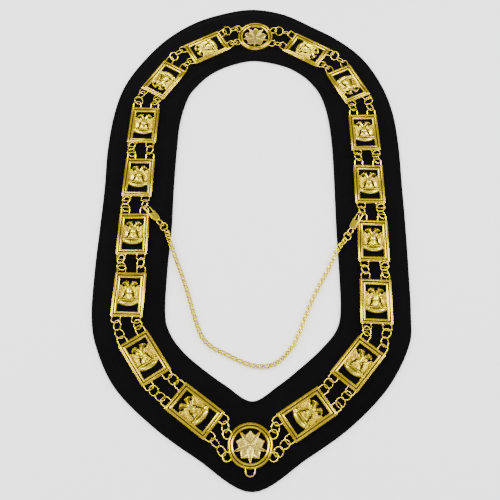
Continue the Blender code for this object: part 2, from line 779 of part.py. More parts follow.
def end_ring(name):
    """The jump ring between a clasp's eye and the chain: its wire mesh and the chain's start."""
    matrix = clasp_matrix(name)
    eye = matrix @ Vector((CLASP_LENGTH - CLASP_WIRE / 2, 0, 0))
    size = END_RING_DIAMETER - END_RING_WIRE
    flat = matrix.to_3x3().col[0].to_2d().normalized()
    pitch = radians(END_RING_PITCH)
    run = Vector((flat.x * cos(pitch), flat.y * cos(pitch), sin(pitch)))
    centre = eye + run * (size / 2 - END_RING_BITE)
    roll = radians(END_RING_ROLL) * CLASPS[name][4]
    path, normal = ring_path(centre, flat, size, size, roll, pitch)
    return wire_mesh("end_ring", path, normal, END_RING_WIRE, True), centre + run * size / 2


def safety_chain():
    """The fine chain as one round length, with its two end rings, down over the velvet's edge."""
    route = []
    for across, along, lift in CHAIN_ROUTE:
        height = CHAIN_DIAMETER / 2 + CLEARANCE + lift * COLLAR_THICKNESS
        route.append(Vector((across * COLLAR_WIDTH, along * COLLAR_LENGTH, height)))
    left_ring, left_start = end_ring("left")
    right_ring, right_start = end_ring("right")
    smooth = open_spline([left_start, *route, right_start], CHAIN_SAMPLES)
    curve = bpy.data.curves.new("safety_chain", "CURVE")
    curve.dimensions = "3D"
    curve.bevel_depth = CHAIN_DIAMETER / 2
    curve.bevel_resolution = 2
    curve.use_fill_caps = True
    spline = curve.splines.new("POLY")
    spline.points.add(len(smooth) - 1)
    for point, place_of in zip(spline.points, smooth):
        point.co = (*place_of, 1.0)
    draft = bpy.data.objects.new("chain_draft", curve)
    bpy.context.scene.collection.objects.link(draft)
    bpy.context.view_layer.update()
    worked = draft.evaluated_get(bpy.context.evaluated_depsgraph_get())
    tube = bpy.data.meshes.new_from_object(worked)
    bpy.data.objects.remove(draft, do_unlink=True)
    add_object("safety_chain", joined("safety_chain", [tube, left_ring, right_ring]), "fine_chain")


def plaques():
    """The sixteen plaques, all of one mesh."""
    shared = plaque_mesh()
    for name, _, _, turn in PLAQUES:
        centre = centre_of(name)
        matrix = place(radians(turn), centre.x, centre.y, PLAQUE_BASE)
        add_object(f"plaque_{name}", shared, "gilt_brass", matrix)


def discs():
    """The two star discs."""
    for name, _, _, turn in DISCS:
        centre = centre_of(name)
        matrix = place(radians(turn), centre.x, centre.y, PLAQUE_BASE)
        add_object(f"star_disc_{name}", disc_mesh(name), "gilt_brass", matrix)


def strands():
    """The two strands of rings in every gap round the collar."""
    for first, second in zip(ROUND_THE_COLLAR, ROUND_THE_COLLAR[1:] + ROUND_THE_COLLAR[:1]):
        ring_strand(first, second, True)
        ring_strand(first, second, False)


def shade_round():
    """Smooth shading on the wires, sharp where faces meet steeply."""
    for item in bpy.data.objects:
        if item.type == "MESH":
            item.data.shade_smooth()
            item.data.set_sharp_from_angle(angle=radians(40))


clear_scene()
velvet_collar()
plaques()
discs()
strands()
clasps()
safety_chain()
shade_round()
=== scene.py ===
"""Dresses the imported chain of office: velvet, cast gilt plaques and stars, wire rings, clasps and chain.

The file is laid out as an add-on and run as a script. Every shape is a surface worked out with numpy:
a profile carried along a path, or a function of two parameters on a grid. Lengths are in metres in
the collar's own frame: X across, Y toward the top of the collar, Z out of its worn face.
"""

import json
from math import cos, pi, radians, sin, sqrt

import bpy
import numpy as np
from bpy.props import FloatProperty, FloatVectorProperty, IntProperty
from mathutils import Matrix, Vector
from mathutils.geometry import tessellate_polygon

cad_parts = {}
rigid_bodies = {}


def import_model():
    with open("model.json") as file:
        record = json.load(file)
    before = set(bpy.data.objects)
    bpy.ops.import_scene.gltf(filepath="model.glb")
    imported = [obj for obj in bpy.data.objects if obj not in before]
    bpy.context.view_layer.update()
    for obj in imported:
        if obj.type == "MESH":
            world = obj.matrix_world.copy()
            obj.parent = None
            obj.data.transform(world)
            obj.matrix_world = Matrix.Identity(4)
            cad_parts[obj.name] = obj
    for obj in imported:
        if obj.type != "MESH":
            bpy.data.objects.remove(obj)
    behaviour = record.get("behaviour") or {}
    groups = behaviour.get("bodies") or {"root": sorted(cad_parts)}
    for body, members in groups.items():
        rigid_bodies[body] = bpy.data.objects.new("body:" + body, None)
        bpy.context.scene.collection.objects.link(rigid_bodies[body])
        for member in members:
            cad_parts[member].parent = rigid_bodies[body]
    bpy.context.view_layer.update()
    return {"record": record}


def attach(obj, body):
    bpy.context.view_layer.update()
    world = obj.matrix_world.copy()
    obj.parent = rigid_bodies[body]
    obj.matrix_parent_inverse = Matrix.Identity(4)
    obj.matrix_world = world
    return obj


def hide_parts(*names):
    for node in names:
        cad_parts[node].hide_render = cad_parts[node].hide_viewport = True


bl_info = {
    "name": "Chain of Office",
    "version": (1, 0, 0),
    "blender": (4, 5, 0),
    "location": "View3D > Sidebar > Regalia",
    "description": "Builds the velvet, plaques, stars, rings, clasps and chain of a ceremonial collar",
    "category": "Add Mesh",
}

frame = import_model()
COLLAR_BODY = frame["record"]["behaviour"]["joints"][0]["parent"]

MM = 0.001
COLLAR_WIDTH = 0.3055
COLLAR_LENGTH = 0.5345
COLLAR_THICKNESS = 0.003
PLAQUE_BASE = 0.0033
PLAQUE_SIZE = np.array((30.0, 44.8)) * MM
BORDER = np.array((5.2, 5.5)) * MM
DISC_RADIUS = 19.7 * MM
LUG_SPACING = 18.8 * MM
LUG_REACH = 7.2 * MM
LUG_WIRE = 1.1 * MM
LUG_HEIGHT = 2.2 * MM
LUG_WIDTH = 9.0 * MM
LUG_ROOT = 1.2 * MM
LUG_CORNER = 3.0 * MM
LUG_RISE = radians(16)
TUCKED_LUG_RISE = radians(-2)

# Solder at a lug's root: where it starts and ends, and its diameter on the way.
LUG_FOOT_START, LUG_FOOT_END = -0.5 * MM, 0.9 * MM
LUG_FOOT = np.array((1.9, 1.9, 1.75, 1.5, 1.25, 1.08)) * MM
LOOP_HALF_TURN = 166
FRAME_CORNER = 0.35 * MM
EAGLE_PLATE_LOW, EAGLE_PLATE_HIGH = 1.0 * MM, 1.9 * MM
RIM_WIDTH = 5.1 * MM
RIM_SEGMENTS = 96
BAIL_WIDTH = 8.2 * MM
BAIL_REACH = 5.6 * MM
BAIL_ROOT = 1.4 * MM
BAIL_WIRE = 1.2 * MM

# Edge of the velvet from its underside to its face, and the groove of its seam.
VELVET_EDGE = np.array([
    # inward, height
    (0.9, 0.0),
    (0.3, 0.35),
    (0.0, 1.1),
    (0.05, 2.0),
    (0.5, 2.75),
    (1.3, 3.0),
    (2.6, 3.02),
]) * MM
SEAM_HALF = 0.7 * MM
SEAM_DEPTH = 0.35 * MM
SEAM_SHOULDER = 1.2 * MM

# Storeys of the star, in degrees and millimetres, and the wave of the ribs along a ray.
STAR_STOREYS = (
    # first ray, tip, valley, low, rim, crown
    (-54, 13.2, 9.6, 0.8, 1.1, 0.7),
    (-90, 16.4, 5.6, 1.0, 1.5, 1.9),
)
STAR_RAYS = 5
RIB_WAVE = 50

# How much yellower and paler the cast relief is than the polished gilding, in red, green and blue.
RELIEF_GAIN = (1.06, 1.16, 2.0)

# Stations of the velvet: outer and inner edge, across as shares of its width, along of its length.
BAND_STATIONS = np.array([
    # outer across, outer along, inner across, inner along
    (-0.002, 0.500, -0.002, 0.359),
    (0.115, 0.486, 0.060, 0.354),
    (0.222, 0.450, 0.122, 0.342),
    (0.319, 0.412, 0.172, 0.323),
    (0.401, 0.363, 0.210, 0.299),
    (0.457, 0.300, 0.241, 0.266),
    (0.489, 0.231, 0.261, 0.216),
    (0.499, 0.150, 0.270, 0.145),
    (0.496, 0.051, 0.270, 0.051),
    (0.493, -0.039, 0.268, -0.035),
    (0.488, -0.122, 0.269, -0.122),
    (0.481, -0.206, 0.266, -0.200),
    (0.466, -0.262, 0.248, -0.236),
    (0.395, -0.333, 0.200, -0.269),
    (0.283, -0.397, 0.138, -0.301),
    (0.151, -0.449, 0.072, -0.331),
    (-0.005, -0.500, -0.004, -0.357),
    (-0.161, -0.449, -0.080, -0.331),
    (-0.292, -0.397, -0.150, -0.302),
    (-0.406, -0.335, -0.210, -0.272),
    (-0.470, -0.267, -0.253, -0.238),
    (-0.495, -0.209, -0.270, -0.200),
    (-0.500, -0.122, -0.270, -0.115),
    (-0.498, -0.039, -0.264, -0.036),
    (-0.496, 0.049, -0.264, 0.049),
    (-0.499, 0.140, -0.261, 0.133),
    (-0.488, 0.227, -0.254, 0.206),
    (-0.459, 0.296, -0.229, 0.266),
    (-0.401, 0.358, -0.196, 0.297),
    (-0.326, 0.414, -0.158, 0.321),
    (-0.230, 0.459, -0.112, 0.339),
    (-0.120, 0.487, -0.058, 0.352),
])

# Plaques: centre as shares of the collar's width and length, turn in degrees.
PLAQUES = {
    # name: across, along, turn
    "L1": (-0.169, 0.3895, 119.0),
    "L2": (-0.320, 0.3040, 148.2),
    "L3": (-0.380, 0.1915, -2.5),
    "L4": (-0.383, 0.0707, -1.6),
    "L5": (-0.386, -0.0500, -0.3),
    "L6": (-0.384, -0.1698, -1.5),
    "L7": (-0.322, -0.2850, 33.1),
    "L8": (-0.169, -0.3740, 52.6),
    "R8": (0.152, -0.3800, -56.5),
    "R7": (0.307, -0.2955, -39.7),
    "R6": (0.3755, -0.1836, -2.6),
    "R5": (0.382, -0.0653, -1.9),
    "R4": (0.3845, 0.0547, -0.8),
    "R3": (0.383, 0.1727, 1.3),
    "R2": (0.339, 0.2920, 205.8),
    "R1": (0.196, 0.3815, -122.2),
}
DISCS = {
    # name: across, along, turn
    "top": (0.0086, 0.4184, -4.0),
    "bottom": (-0.0096, -0.4300, 0.0),
}
ROUND_THE_COLLAR = [
    "top", "L1", "L2", "L3", "L4", "L5", "L6", "L7", "L8",
    "bottom", "R8", "R7", "R6", "R5", "R4", "R3", "R2", "R1",
]

# Moulding of the cast frames: share of the border in from the rim, share of the depth up, and painted
# shade, which is 1 where the groove is painted dark.
MOULDING = np.array([
    # inset, height, painted shade
    (0.00, 0.00, 0.3), (0.00, 0.62, 0.3), (0.02, 0.76, 0.1), (0.06, 0.84, 0.0), (0.10, 0.84, 0.0),
    (0.125, 0.70, 0.6), (0.15, 0.70, 0.6), (0.18, 0.86, 0.0), (0.24, 0.96, 0.0), (0.31, 1.00, 0.0),
    (0.37, 0.97, 0.0), (0.405, 0.84, 0.3), (0.425, 0.46, 1.0), (0.45, 0.34, 1.0), (0.545, 0.34, 1.0),
    (0.57, 0.52, 1.0), (0.59, 0.76, 0.2), (0.65, 0.87, 0.0), (0.75, 0.90, 0.0), (0.85, 0.85, 0.0),
    (0.93, 0.74, 0.1), (1.00, 0.52, 0.4), (1.00, 0.00, 0.6),
])

# Feathers and limbs of the eagle on one side, in millimetres from the plaque's middle.
EAGLE_SIDE = [
    # root x, root y, tip x, tip y, width, height, base, bend
    (4.5, 4.8, 7.0, -4.2, 1.25, 0.9, 1.7, 0.3),
    (5.0, 5.2, 8.2, -4.4, 1.3, 1.0, 1.7, 0.4),
    (5.5, 5.6, 9.3, -4.0, 1.35, 1.0, 1.7, 0.5),
    (6.0, 6.1, 9.9, -2.2, 1.35, 1.1, 1.7, 0.6),
    (6.4, 6.6, 10.0, -0.3, 1.35, 1.1, 1.7, 0.6),
    (6.8, 7.1, 10.0, 1.6, 1.35, 1.2, 1.7, 0.6),
    (7.1, 7.6, 10.0, 3.5, 1.35, 1.2, 1.7, 0.5),
    (7.3, 8.1, 10.0, 5.3, 1.35, 1.2, 1.7, 0.4),
    (7.5, 8.6, 10.0, 7.1, 1.35, 1.2, 1.7, 0.3),
    (3.3, 5.2, 5.7, 2.3, 1.4, 1.0, 2.2, 0.3),
    (4.3, 5.9, 6.8, 2.2, 1.4, 1.0, 2.3, 0.3),
    (5.2, 6.6, 7.9, 3.0, 1.4, 1.0, 2.4, 0.3),
    (6.0, 7.3, 8.8, 4.4, 1.4, 1.0, 2.4, 0.3),
    (6.7, 8.0, 9.4, 6.0, 1.4, 0.9, 2.4, 0.2),
    (1.6, 3.8, 7.4, 7.6, 2.2, 1.4, 2.0, -0.3),
    (6.9, 7.7, 9.9, 9.4, 2.2, 1.6, 1.7, -0.3),
    (2.0, 5.0, 4.5, 8.3, 2.2, 1.4, 1.9, 0.2),
    (0.9, 5.6, 3.2, 11.6, 2.6, 1.8, 1.6, -0.8),
    (0.5, 8.0, 2.0, 10.4, 1.5, 1.5, 1.6, -0.3),
    (2.4, 11.7, 5.3, 12.0, 2.6, 1.8, 1.6, -0.3),
    (4.9, 12.6, 7.1, 10.3, 1.4, 1.2, 1.8, -0.5),
    (2.2, 12.2, 1.9, 13.8, 1.0, 1.0, 1.7, 0.0),
    (3.3, 12.4, 3.3, 14.0, 1.0, 1.0, 1.7, 0.0),
    (4.4, 12.2, 4.8, 13.6, 1.0, 1.0, 1.7, 0.0),
    (1.6, 2.9, 2.8, 0.9, 1.6, 1.1, 2.0, -0.2),
    (0.5, 1.4, 1.5, -4.6, 1.7, 1.1, 1.7, 0.1),
    (0.9, 1.4, 3.0, -4.4, 1.7, 1.0, 1.7, 0.2),
    (1.4, 1.2, 4.4, -3.9, 1.6, 0.9, 1.7, 0.2),
    (6.0, -7.2, 9.7, -5.7, 2.8, 1.3, 1.7, -0.4),
    (6.8, -8.9, 9.8, -7.6, 1.7, 1.0, 1.7, -0.3),
    (3.4, -4.9, 5.2, -6.0, 1.2, 1.2, 2.1, 0.2),
]
EAGLE_MIDDLE = [
    # root x, root y, tip x, tip y, width, height, base, bend
    (0.0, 8.4, 0.0, 0.2, 5.2, 2.2, 1.8, 0.0),
    (0.0, 1.6, 0.0, -4.9, 1.8, 1.3, 1.7, 0.0),
    (-7.2, -5.3, 7.2, -5.3, 1.2, 1.1, 1.7, 0.3),
    (-7.9, -7.3, 7.9, -7.3, 4.3, 1.2, 1.7, 2.0),
    (-5.6, -7.7, 5.6, -7.7, 2.1, 0.9, 2.5, 1.4),
]

# Pierced back plate of the eagle, right half from the notch between the heads, and one tail slit.
EAGLE_PLATE = [
    # x, y
    (0.0, 9.4), (1.4, 12.6), (2.2, 13.3), (4.6, 13.2), (6.4, 11.6), (6.9, 10.2), (6.3, 10.0),
    (5.6, 10.4), (4.9, 9.6), (4.9, 8.2), (5.6, 7.6), (6.6, 8.6), (7.2, 9.6), (9.9, 10.0),
    (9.9, -4.2), (8.6, -5.0), (9.7, -5.6), (9.8, -7.8), (8.6, -9.2), (5.2, -10.8), (0.0, -11.5),
]
TAIL_SLIT = [(2.5, 2.9), (3.0, 3.1), (6.5, -2.4), (6.3, -3.3), (5.6, -3.2), (4.6, -1.6)]

# Rings of a strand: how far behind a lug's tip its span is measured, how far two rings reach into each
# other, the least and most slack at its ends, and the drop below the lug tips in millimetres.
STRAND_HOLD = 3.0 * MM
RING_REACH = 0.64 * MM
LEAST_SLACK, MOST_SLACK = -1.3 * MM, 1.8 * MM
RING_DROP = 0.2

# Lie of the rings of a strand, where it isn't the even one: pitch of the strand in degrees, drop below
# the lug tips in millimetres, and the roll of each ring in degrees.
RING_LIE = {
    # strand: pitch, drop, rolls
    "top_L1_inner": (5, 1.2, (30,)),
    "L8_bottom_inner": (4, RING_DROP, (48,)),
    "L8_bottom_outer": (0, RING_DROP, (-50, 50)),
    "L4_L5_inner": (0, RING_DROP, (44,)),
    "R5_R4_inner": (0, RING_DROP, (44,)),
    "L3_L4_inner": (0, RING_DROP, (34,)),
    "L5_L6_inner": (0, RING_DROP, (35,)),
    "bottom_R8_inner": (0, RING_DROP, (36,)),
    "L1_L2_outer": (0, RING_DROP, (32, -32)),
    "L6_L7_outer": (0, RING_DROP, (35, -35)),
    "R7_R6_outer": (0, RING_DROP, (35, -35)),
    "R3_R2_outer": (0, RING_DROP, (30, -30)),
    "R2_R1_outer": (0, RING_DROP, (35, -35)),
    "R1_top_outer": (0, RING_DROP, (35, -35)),
}

# Roll of an even strand in degrees: of its inner ring, and of the outer two, turned opposite ways.
EVEN_ROLL = (30, 28)

# Lie of the clasps: held strand, turn, dip and roll in degrees, hand, and the top of the hook from the
# ring's middle as shares of the ring's diameter.
CLASPS = {
    "left": (("L4", "L5"), -49.1, 4.9, -27.6, 1, (0.0404, -0.2071, 0.1818)),
    "right": (("R5", "R4"), -120.0, 4.3, -28.6, -1, (-0.0909, -0.1515, 0.1616)),
}
CLASP_LENGTH = 29.5 * MM
CLASP_WIRE = 1.5 * MM
CLASP_LOOP = 6.2 * MM
BODY_START = 11.5 * MM
BODY_LENGTH = 9.5 * MM

# Half depths of a clasp's body and of its lever's slot, in millimetres.
BODY_DEEP, SLOT_DEEP = 1.3, 0.8
EYE_WIDTH = 5.2 * MM
PIVOT = np.array((13.6, 1.9, 0.0)) * MM
END_RING = 7.7 * MM
END_RING_WIRE = 1.1 * MM
END_RING_HOLD = 2.3 * MM
END_RING_PITCH, END_RING_ROLL = radians(-4), radians(34)

# Route of the safety chain between its end rings: across and along as shares, height in millimetres.
CHAIN_ROUTE = np.array([
    # across, along, height
    (-0.268, -0.064, 5.0),
    (-0.257, -0.080, 4.7),
    (-0.243, -0.102, 2.2),
    (-0.207, -0.159, 2.2),
    (-0.178, -0.213, 2.2),
    (-0.154, -0.247, 2.2),
    (-0.123, -0.265, 2.2),
    (-0.085, -0.276, 2.2),
    (-0.036, -0.290, 2.2),
    (0.013, -0.298, 2.2),
    (0.066, -0.293, 2.2),
    (0.115, -0.265, 2.2),
    (0.140, -0.237, 2.2),
    (0.175, -0.187, 2.2),
    (0.218, -0.138, 2.2),
    (0.243, -0.112, 2.5),
    (0.259, -0.092, 4.8),
    (0.270, -0.080, 5.1),
])
CHAIN_LINK = np.array((4.7, 3.5)) * MM
CHAIN_LINK_WIRE = 1.3 * MM
CHAIN_LINK_ROLL = radians(26)
CHAIN_LINK_LEAN = 0.3
CHAIN_LINK_SEGMENTS, CHAIN_LINK_SIDES = 16, 8

FLOOR_REACH = 12.0
FLOOR_HEIGHT = -0.2 * MM
WORLD_STRENGTH = 0.56
SOFTBOXES = (
    # name, place, width, height, power
    ("left softbox", (-1.15, 0.3, 1.0), 0.45, 1.8, 37.0),
    ("right softbox", (1.15, 0.2, 1.05), 0.45, 1.8, 34.0),
    ("front softbox", (0.0, -1.3, 1.5), 1.4, 0.3, 8.0),
)

# Camera: its place in millimetres, and its right, up and backward directions.
CAMERA_PLACE = (0.121, -334.859, 614.277)
CAMERA_AXES = (
    (0.9999858, 0.0004745, -0.0053065),
    (0.0018551, 0.9026865, 0.4302949),
    (0.0049943, -0.4302986, 0.9026728),
)


class VelvetSettings(bpy.types.PropertyGroup):
    """Cloth of the collar."""

    colour: FloatVectorProperty(
        name="Pile colour", description="Colour of the velvet pile", subtype="COLOR",
        default=(0.0018, 0.0016, 0.0018), min=0, max=1)
    seam: FloatProperty(
        name="Edge seam", description="Distance of the turned edge's seam from the rim",
        default=4.2 * MM, unit="LENGTH")
    swell: FloatProperty(
        name="Swell", description="Rise of the padding between its seams", default=0.12 * MM, unit="LENGTH")


class CastSettings(bpy.types.PropertyGroup):
    """Cast plaques and stars."""

    depth: FloatProperty(
        name="Frame depth", description="Height of the moulded frame", default=3.5 * MM, unit="LENGTH")
    gold: FloatVectorProperty(
        name="Gilding", description="Colour of the polished gilding", subtype="COLOR",
        default=(0.93, 0.70, 0.03), min=0, max=1)
    pale: FloatVectorProperty(
        name="Brushed gilding", description="Colour of the brushed, paler gilding", subtype="COLOR",
        default=(0.80, 0.62, 0.12), min=0, max=1)


class WireSettings(bpy.types.PropertyGroup):
    """Rings, lugs, clasps and chain."""

    ring: FloatProperty(
        name="Ring wire", description="Diameter of the jump rings' wire", default=1.04 * MM, unit="LENGTH")
    ring_size: FloatProperty(
        name="Ring", description="Outer diameter of a jump ring", default=9.9 * MM, unit="LENGTH")
    chain_pitch: FloatProperty(
        name="Chain pitch", description="Distance from link to link of the safety chain",
        default=3.1 * MM, unit="LENGTH")
    gold: FloatVectorProperty(
        name="Wire gilding", description="Colour of the gilt wire", subtype="COLOR",
        default=(0.97, 0.75, 0.04), min=0, max=1)
    chain_gold: FloatVectorProperty(
        name="Chain gilding", description="Colour of the safety chain", subtype="COLOR",
        default=(0.90, 0.68, 0.01), min=0, max=1)


class StageSettings(bpy.types.PropertyGroup):
    """Floor, lights and camera."""

    focal: FloatProperty(
        name="Focal length", description="Lens of the camera on a 36 mm sensor", default=50.13)
    samples: IntProperty(
        name="Ring segments", description="Segments round a jump ring", default=40, min=12, max=96)


def unit(vectors):
    """Vectors scaled to length one along the last axis."""
    vectors = np.asarray(vectors, dtype=float)
    return vectors / np.linalg.norm(vectors, axis=-1, keepdims=True)


def grid_faces(rows, columns, close_rows, close_columns):
    """Four-sided faces of a grid of points, row after row, joined at the ends where it is closed."""
    row = np.arange(rows if close_rows else rows - 1)[:, None]
    column = np.arange(columns if close_columns else columns - 1)[None, :]
    after_row, after_column = (row + 1) % rows, (column + 1) % columns
    corners = [row * columns + column, after_row * columns + column,
               after_row * columns + after_column, row * columns + after_column]
    return np.stack(corners, axis=-1).reshape(-1, 4)


class Shape:
    """Points and faces gathered from several surfaces before they become one mesh."""

    def __init__(self):
        self.points = []
        # Painted shade of each point, 1 where the surface is painted dark.
        self.patina = []
        self.faces = []
        self.count = 0

    def add(self, points, faces, caps=(), patina=0.0):
        """Adds a surface: its points, its four-sided faces, caps as lists of points, and its painted shade.
        """
        points = np.asarray(points, dtype=float)
        self.patina.append(np.broadcast_to(patina, points.shape[:-1]).reshape(-1))
        points = points.reshape(-1, 3)
        self.faces += (np.asarray(faces) + self.count).tolist()
        self.faces += [[int(i) + self.count for i in cap] for cap in caps]
        self.points.append(points)
        self.count += len(points)
        return self

    def moved(self, matrix):
        """A copy of the shape moved by a 4 by 4 matrix."""
        copy = Shape()
        spin, shift = np.array(matrix.to_3x3()), np.array(matrix.translation)
        copy.points = [points @ spin.T + shift for points in self.points]
        copy.patina, copy.faces, copy.count = self.patina, self.faces, self.count
        return copy

    def sweep(self, path, across, up, section, closed=False, patina=0.0):
        """A section carried along a path: path + across * first + up * second, for each of its pairs.

        The section runs from across toward up, which keeps the faces outward.
        """
        path, section = np.asarray(path, dtype=float), np.asarray(section, dtype=float)
        if section.ndim == 2:
            section = np.broadcast_to(section, (len(path), *section.shape))
        across, up = (np.broadcast_to(v, path.shape)[:, None, :] for v in (across, up))
        points = path[:, None, :] + across * section[..., :1] + up * section[..., 1:]
        rows, columns = section.shape[:2]
        caps = [] if closed else [range(columns), reversed(range((rows - 1) * columns, rows * columns))]
        return self.add(points, grid_faces(rows, columns, closed, True), caps, patina)

    def wire(self, path, normal, diameter, closed=False, sides=12):
        """A round wire: a circle carried along a path, square to it; normal is out of the path's plane."""
        path = np.asarray(path, dtype=float)
        if closed:
            along = np.roll(path, -1, 0) - np.roll(path, 1, 0)
        else:
            along = np.gradient(path, axis=0)
        along = unit(along)
        across = unit(np.cross(along, normal))
        up = np.cross(across, along)
        angle = np.arange(sides) * 2 * pi / sides
        circle = np.stack([np.cos(angle), np.sin(angle)], axis=-1)
        radius = np.broadcast_to(np.asarray(diameter, dtype=float) / 2, len(path))
        return self.sweep(path, across, up, circle[None] * radius[:, None, None], closed)

    def leaf(self, root, tip, width, height, base, bend=0.0, rows=10, columns=9, ridge=0.22):
        """A feather or limb on a flat base: its half width and height swell from root to tip and close
        round at both ends, and its crown carries a fine central ridge. The path bends to one side."""
        share = 0.5 - 0.5 * np.cos(np.linspace(0, pi, rows))
        root, tip = np.array((*root, base)), np.array((*tip, base))
        along = unit(tip - root)
        across = unit(np.cross(along, (0, 0, 1)))
        path = root + (tip - root) * share[:, None] + across * (bend * 4 * share * (1 - share))[:, None]
        swell = np.sqrt(np.clip(1 - (2 * share - 1) ** 4, 0, 1)) * (0.72 + 0.28 * share) + 0.04
        lift = np.sqrt(np.clip(1 - (2 * share - 1) ** 6, 0, 1)) + 0.04
        angle = np.linspace(0, pi, columns)
        crown = np.sin(angle) ** 0.8 * (1 - ridge + ridge * np.exp(-(np.cos(angle) / 0.28) ** 2))
        section = np.stack([np.cos(angle)[None] * swell[:, None] * width / 2,
                            crown[None] * lift[:, None] * height], axis=-1)
        # Painted shade: dark along both lower edges of the leaf, where it meets the plate.
        dark = np.exp(-(np.sin(angle) / 0.36) ** 2) * 0.8
        return self.sweep(path, across, np.array((0.0, 0.0, 1.0)), section, patina=dark)

    def plate(self, loops, bottom, top):
        """A flat plate between two heights: the first loop is its outline, the others are holes.

        The outline runs clockwise and the holes the other way.
        """
        flat = np.concatenate(loops)
        count = len(flat)
        points = np.concatenate([np.column_stack([flat, np.full(count, z)]) for z in (bottom, top)])
        caps = []
        for a, b, c in tessellate_polygon([[Vector((*p, 0)) for p in loop] for loop in loops]):
            first, second = flat[b] - flat[a], flat[c] - flat[a]
            if first[0] * second[1] - first[1] * second[0] < 0:
                b, c = c, b
            caps += [(a + count, b + count, c + count), (c, b, a)]
        start, walls = 0, []
        for loop in loops:
            here = start + np.arange(len(loop))
            after = start + (np.arange(len(loop)) + 1) % len(loop)
            walls.append(np.stack([after, here, here + count, after + count], -1))
            start += len(loop)
        # Painted shade: the whole plate, seen only between the leaves, is painted fully dark.
        return self.add(points, np.concatenate(walls), caps, 1.0)

    def mesh(self, name, finish, sharp=40):
        """The shape as a mesh object with its finish, smooth but for edges steeper than sharp."""
        mesh = bpy.data.meshes.new(name)
        mesh.from_pydata(np.concatenate(self.points), [], self.faces)
        # The painted shade goes on the mesh as a point attribute that the gilt finishes read.
        patina = mesh.attributes.new("patina", "FLOAT", "POINT")
        patina.data.foreach_set("value", np.concatenate(self.patina).astype(np.float32))
        mesh.validate()
        mesh.shade_smooth()
        mesh.set_sharp_from_angle(angle=radians(sharp))
        piece = bpy.data.objects.new(name, mesh)
        bpy.context.scene.collection.objects.link(piece)
        mesh.materials.append(finish)
        return piece


def closed_curve(points, samples):
    """Points of the closed Catmull-Rom curve through the given rows."""
    before, start = np.roll(points, 1, 0), points
    end, after = np.roll(points, -1, 0), np.roll(points, -2, 0)
    return curve_spans(before, start, end, after, samples)


def open_curve(points, samples):
    """Points of the open Catmull-Rom curve through the given rows."""
    padded = np.concatenate([2 * points[:1] - points[1:2], points, 2 * points[-1:] - points[-2:-1]])
    spans = curve_spans(padded[:-3], padded[1:-2], padded[2:-1], padded[3:], samples)
    return np.concatenate([spans, points[-1:]])


def curve_spans(before, start, end, after, samples):
    """Cubic through start and end of each span, with slopes from the neighbours on both sides."""
    t = (np.arange(samples) / samples)[None, :, None]
    before, start, end, after = (p[:, None, :] for p in (before, start, end, after))
    slope, leave = (end - before) / 2, (after - start) / 2
    bend, ease = (start - end) * 2 + slope + leave, (end - start) * 3 - slope * 2 - leave
    curve = start + slope * t + ease * t ** 2 + bend * t ** 3
    return curve.reshape(-1, start.shape[-1])


def even_points(path, count):
    """Points spaced evenly by length along a path."""
    steps = np.linalg.norm(np.diff(path, axis=0), axis=1)
    length = np.concatenate([[0], np.cumsum(steps)])
    at = np.linspace(0, length[-1], count)
    return np.stack([np.interp(at, length, path[:, k]) for k in range(path.shape[1])], axis=-1)


def centre_of(name):
    """Centre of a plaque or disc on the collar, as two numbers."""
    across, along = (PLAQUES.get(name) or DISCS[name])[:2]
    return np.array((across * COLLAR_WIDTH, along * COLLAR_LENGTH))


def facing_lugs(name, other):
    """The two lugs of a piece that face another, the neck side first: (base point, outward).

    A plaque's lugs point along it, a disc's straight across it.
    """
    centre, turn = centre_of(name), radians((PLAQUES.get(name) or DISCS[name])[2])
    if name in DISCS:
        line, reach = np.array((cos(turn), sin(turn))), sqrt(DISC_RADIUS ** 2 - (LUG_SPACING / 2) ** 2)
    else:
        line, reach = np.array((-sin(turn), cos(turn))), PLAQUE_SIZE[1] / 2
    outward = line if (centre_of(other) - centre) @ line > 0 else -line
    base = centre + outward * reach
    side = np.array((-outward[1], outward[0])) * LUG_SPACING / 2
    return sorted([(base - side, outward), (base + side, outward)], key=lambda lug: np.linalg.norm(lug[0]))


def strand_rings(first, second, inner, size, wire):
    """Rings of one strand between two pieces: (centre, along, length, width, roll, pitch) of each."""
    which, number = (0, 1) if inner else (1, 2)
    lug_a, lug_b = facing_lugs(first, second)[which], facing_lugs(second, first)[which]
    tip = LUG_REACH - LUG_WIRE / 2
    aim = (tip - STRAND_HOLD) * cos(LUG_RISE)
    start, end = lug_a[0] + lug_a[1] * aim, lug_b[0] + lug_b[1] * aim
    span = np.linalg.norm(end - start)
    along = (end - start) / span
    overlap = RING_REACH * (number - 1)
    spare = min(max((number * (size - wire) - overlap - span) / 2, LEAST_SLACK), MOST_SLACK)
    length = (span + 2 * spare + overlap) / number
    key = f"{first}_{second}_{'inner' if inner else 'outer'}"
    even_rolls = (EVEN_ROLL[0],) if inner else (EVEN_ROLL[1], -EVEN_ROLL[1])
    pitch, drop, rolls = RING_LIE.get(key, (0, RING_DROP, even_rolls))
    height = PLAQUE_BASE + LUG_HEIGHT + tip * sin(LUG_RISE) - drop * MM
    rings = []
    for index, roll in enumerate(rolls):
        place = -spare + length / 2 + index * (length - overlap)
        centre = start + along * place
        lie = radians(roll), radians(pitch)
        rings.append((np.array((*centre, height)), along, length, min(size - wire, length), *lie))
    return rings


def ring_path(centre, along, length, width, roll, pitch=0.0, segments=40):
    """Ellipse round a centre and its normal: long axis along, its plane rolled about that axis."""
    long_axis = np.array((along[0] * cos(pitch), along[1] * cos(pitch), sin(pitch)))
    level = np.array((-along[1], along[0], 0.0))
    across = level * cos(roll) + np.cross(long_axis, level) * sin(roll)
    angle = (np.arange(segments) * 2 * pi / segments)[:, None]
    path = centre + long_axis * np.cos(angle) * length / 2 + across * np.sin(angle) * width / 2
    return path, np.cross(long_axis, across)


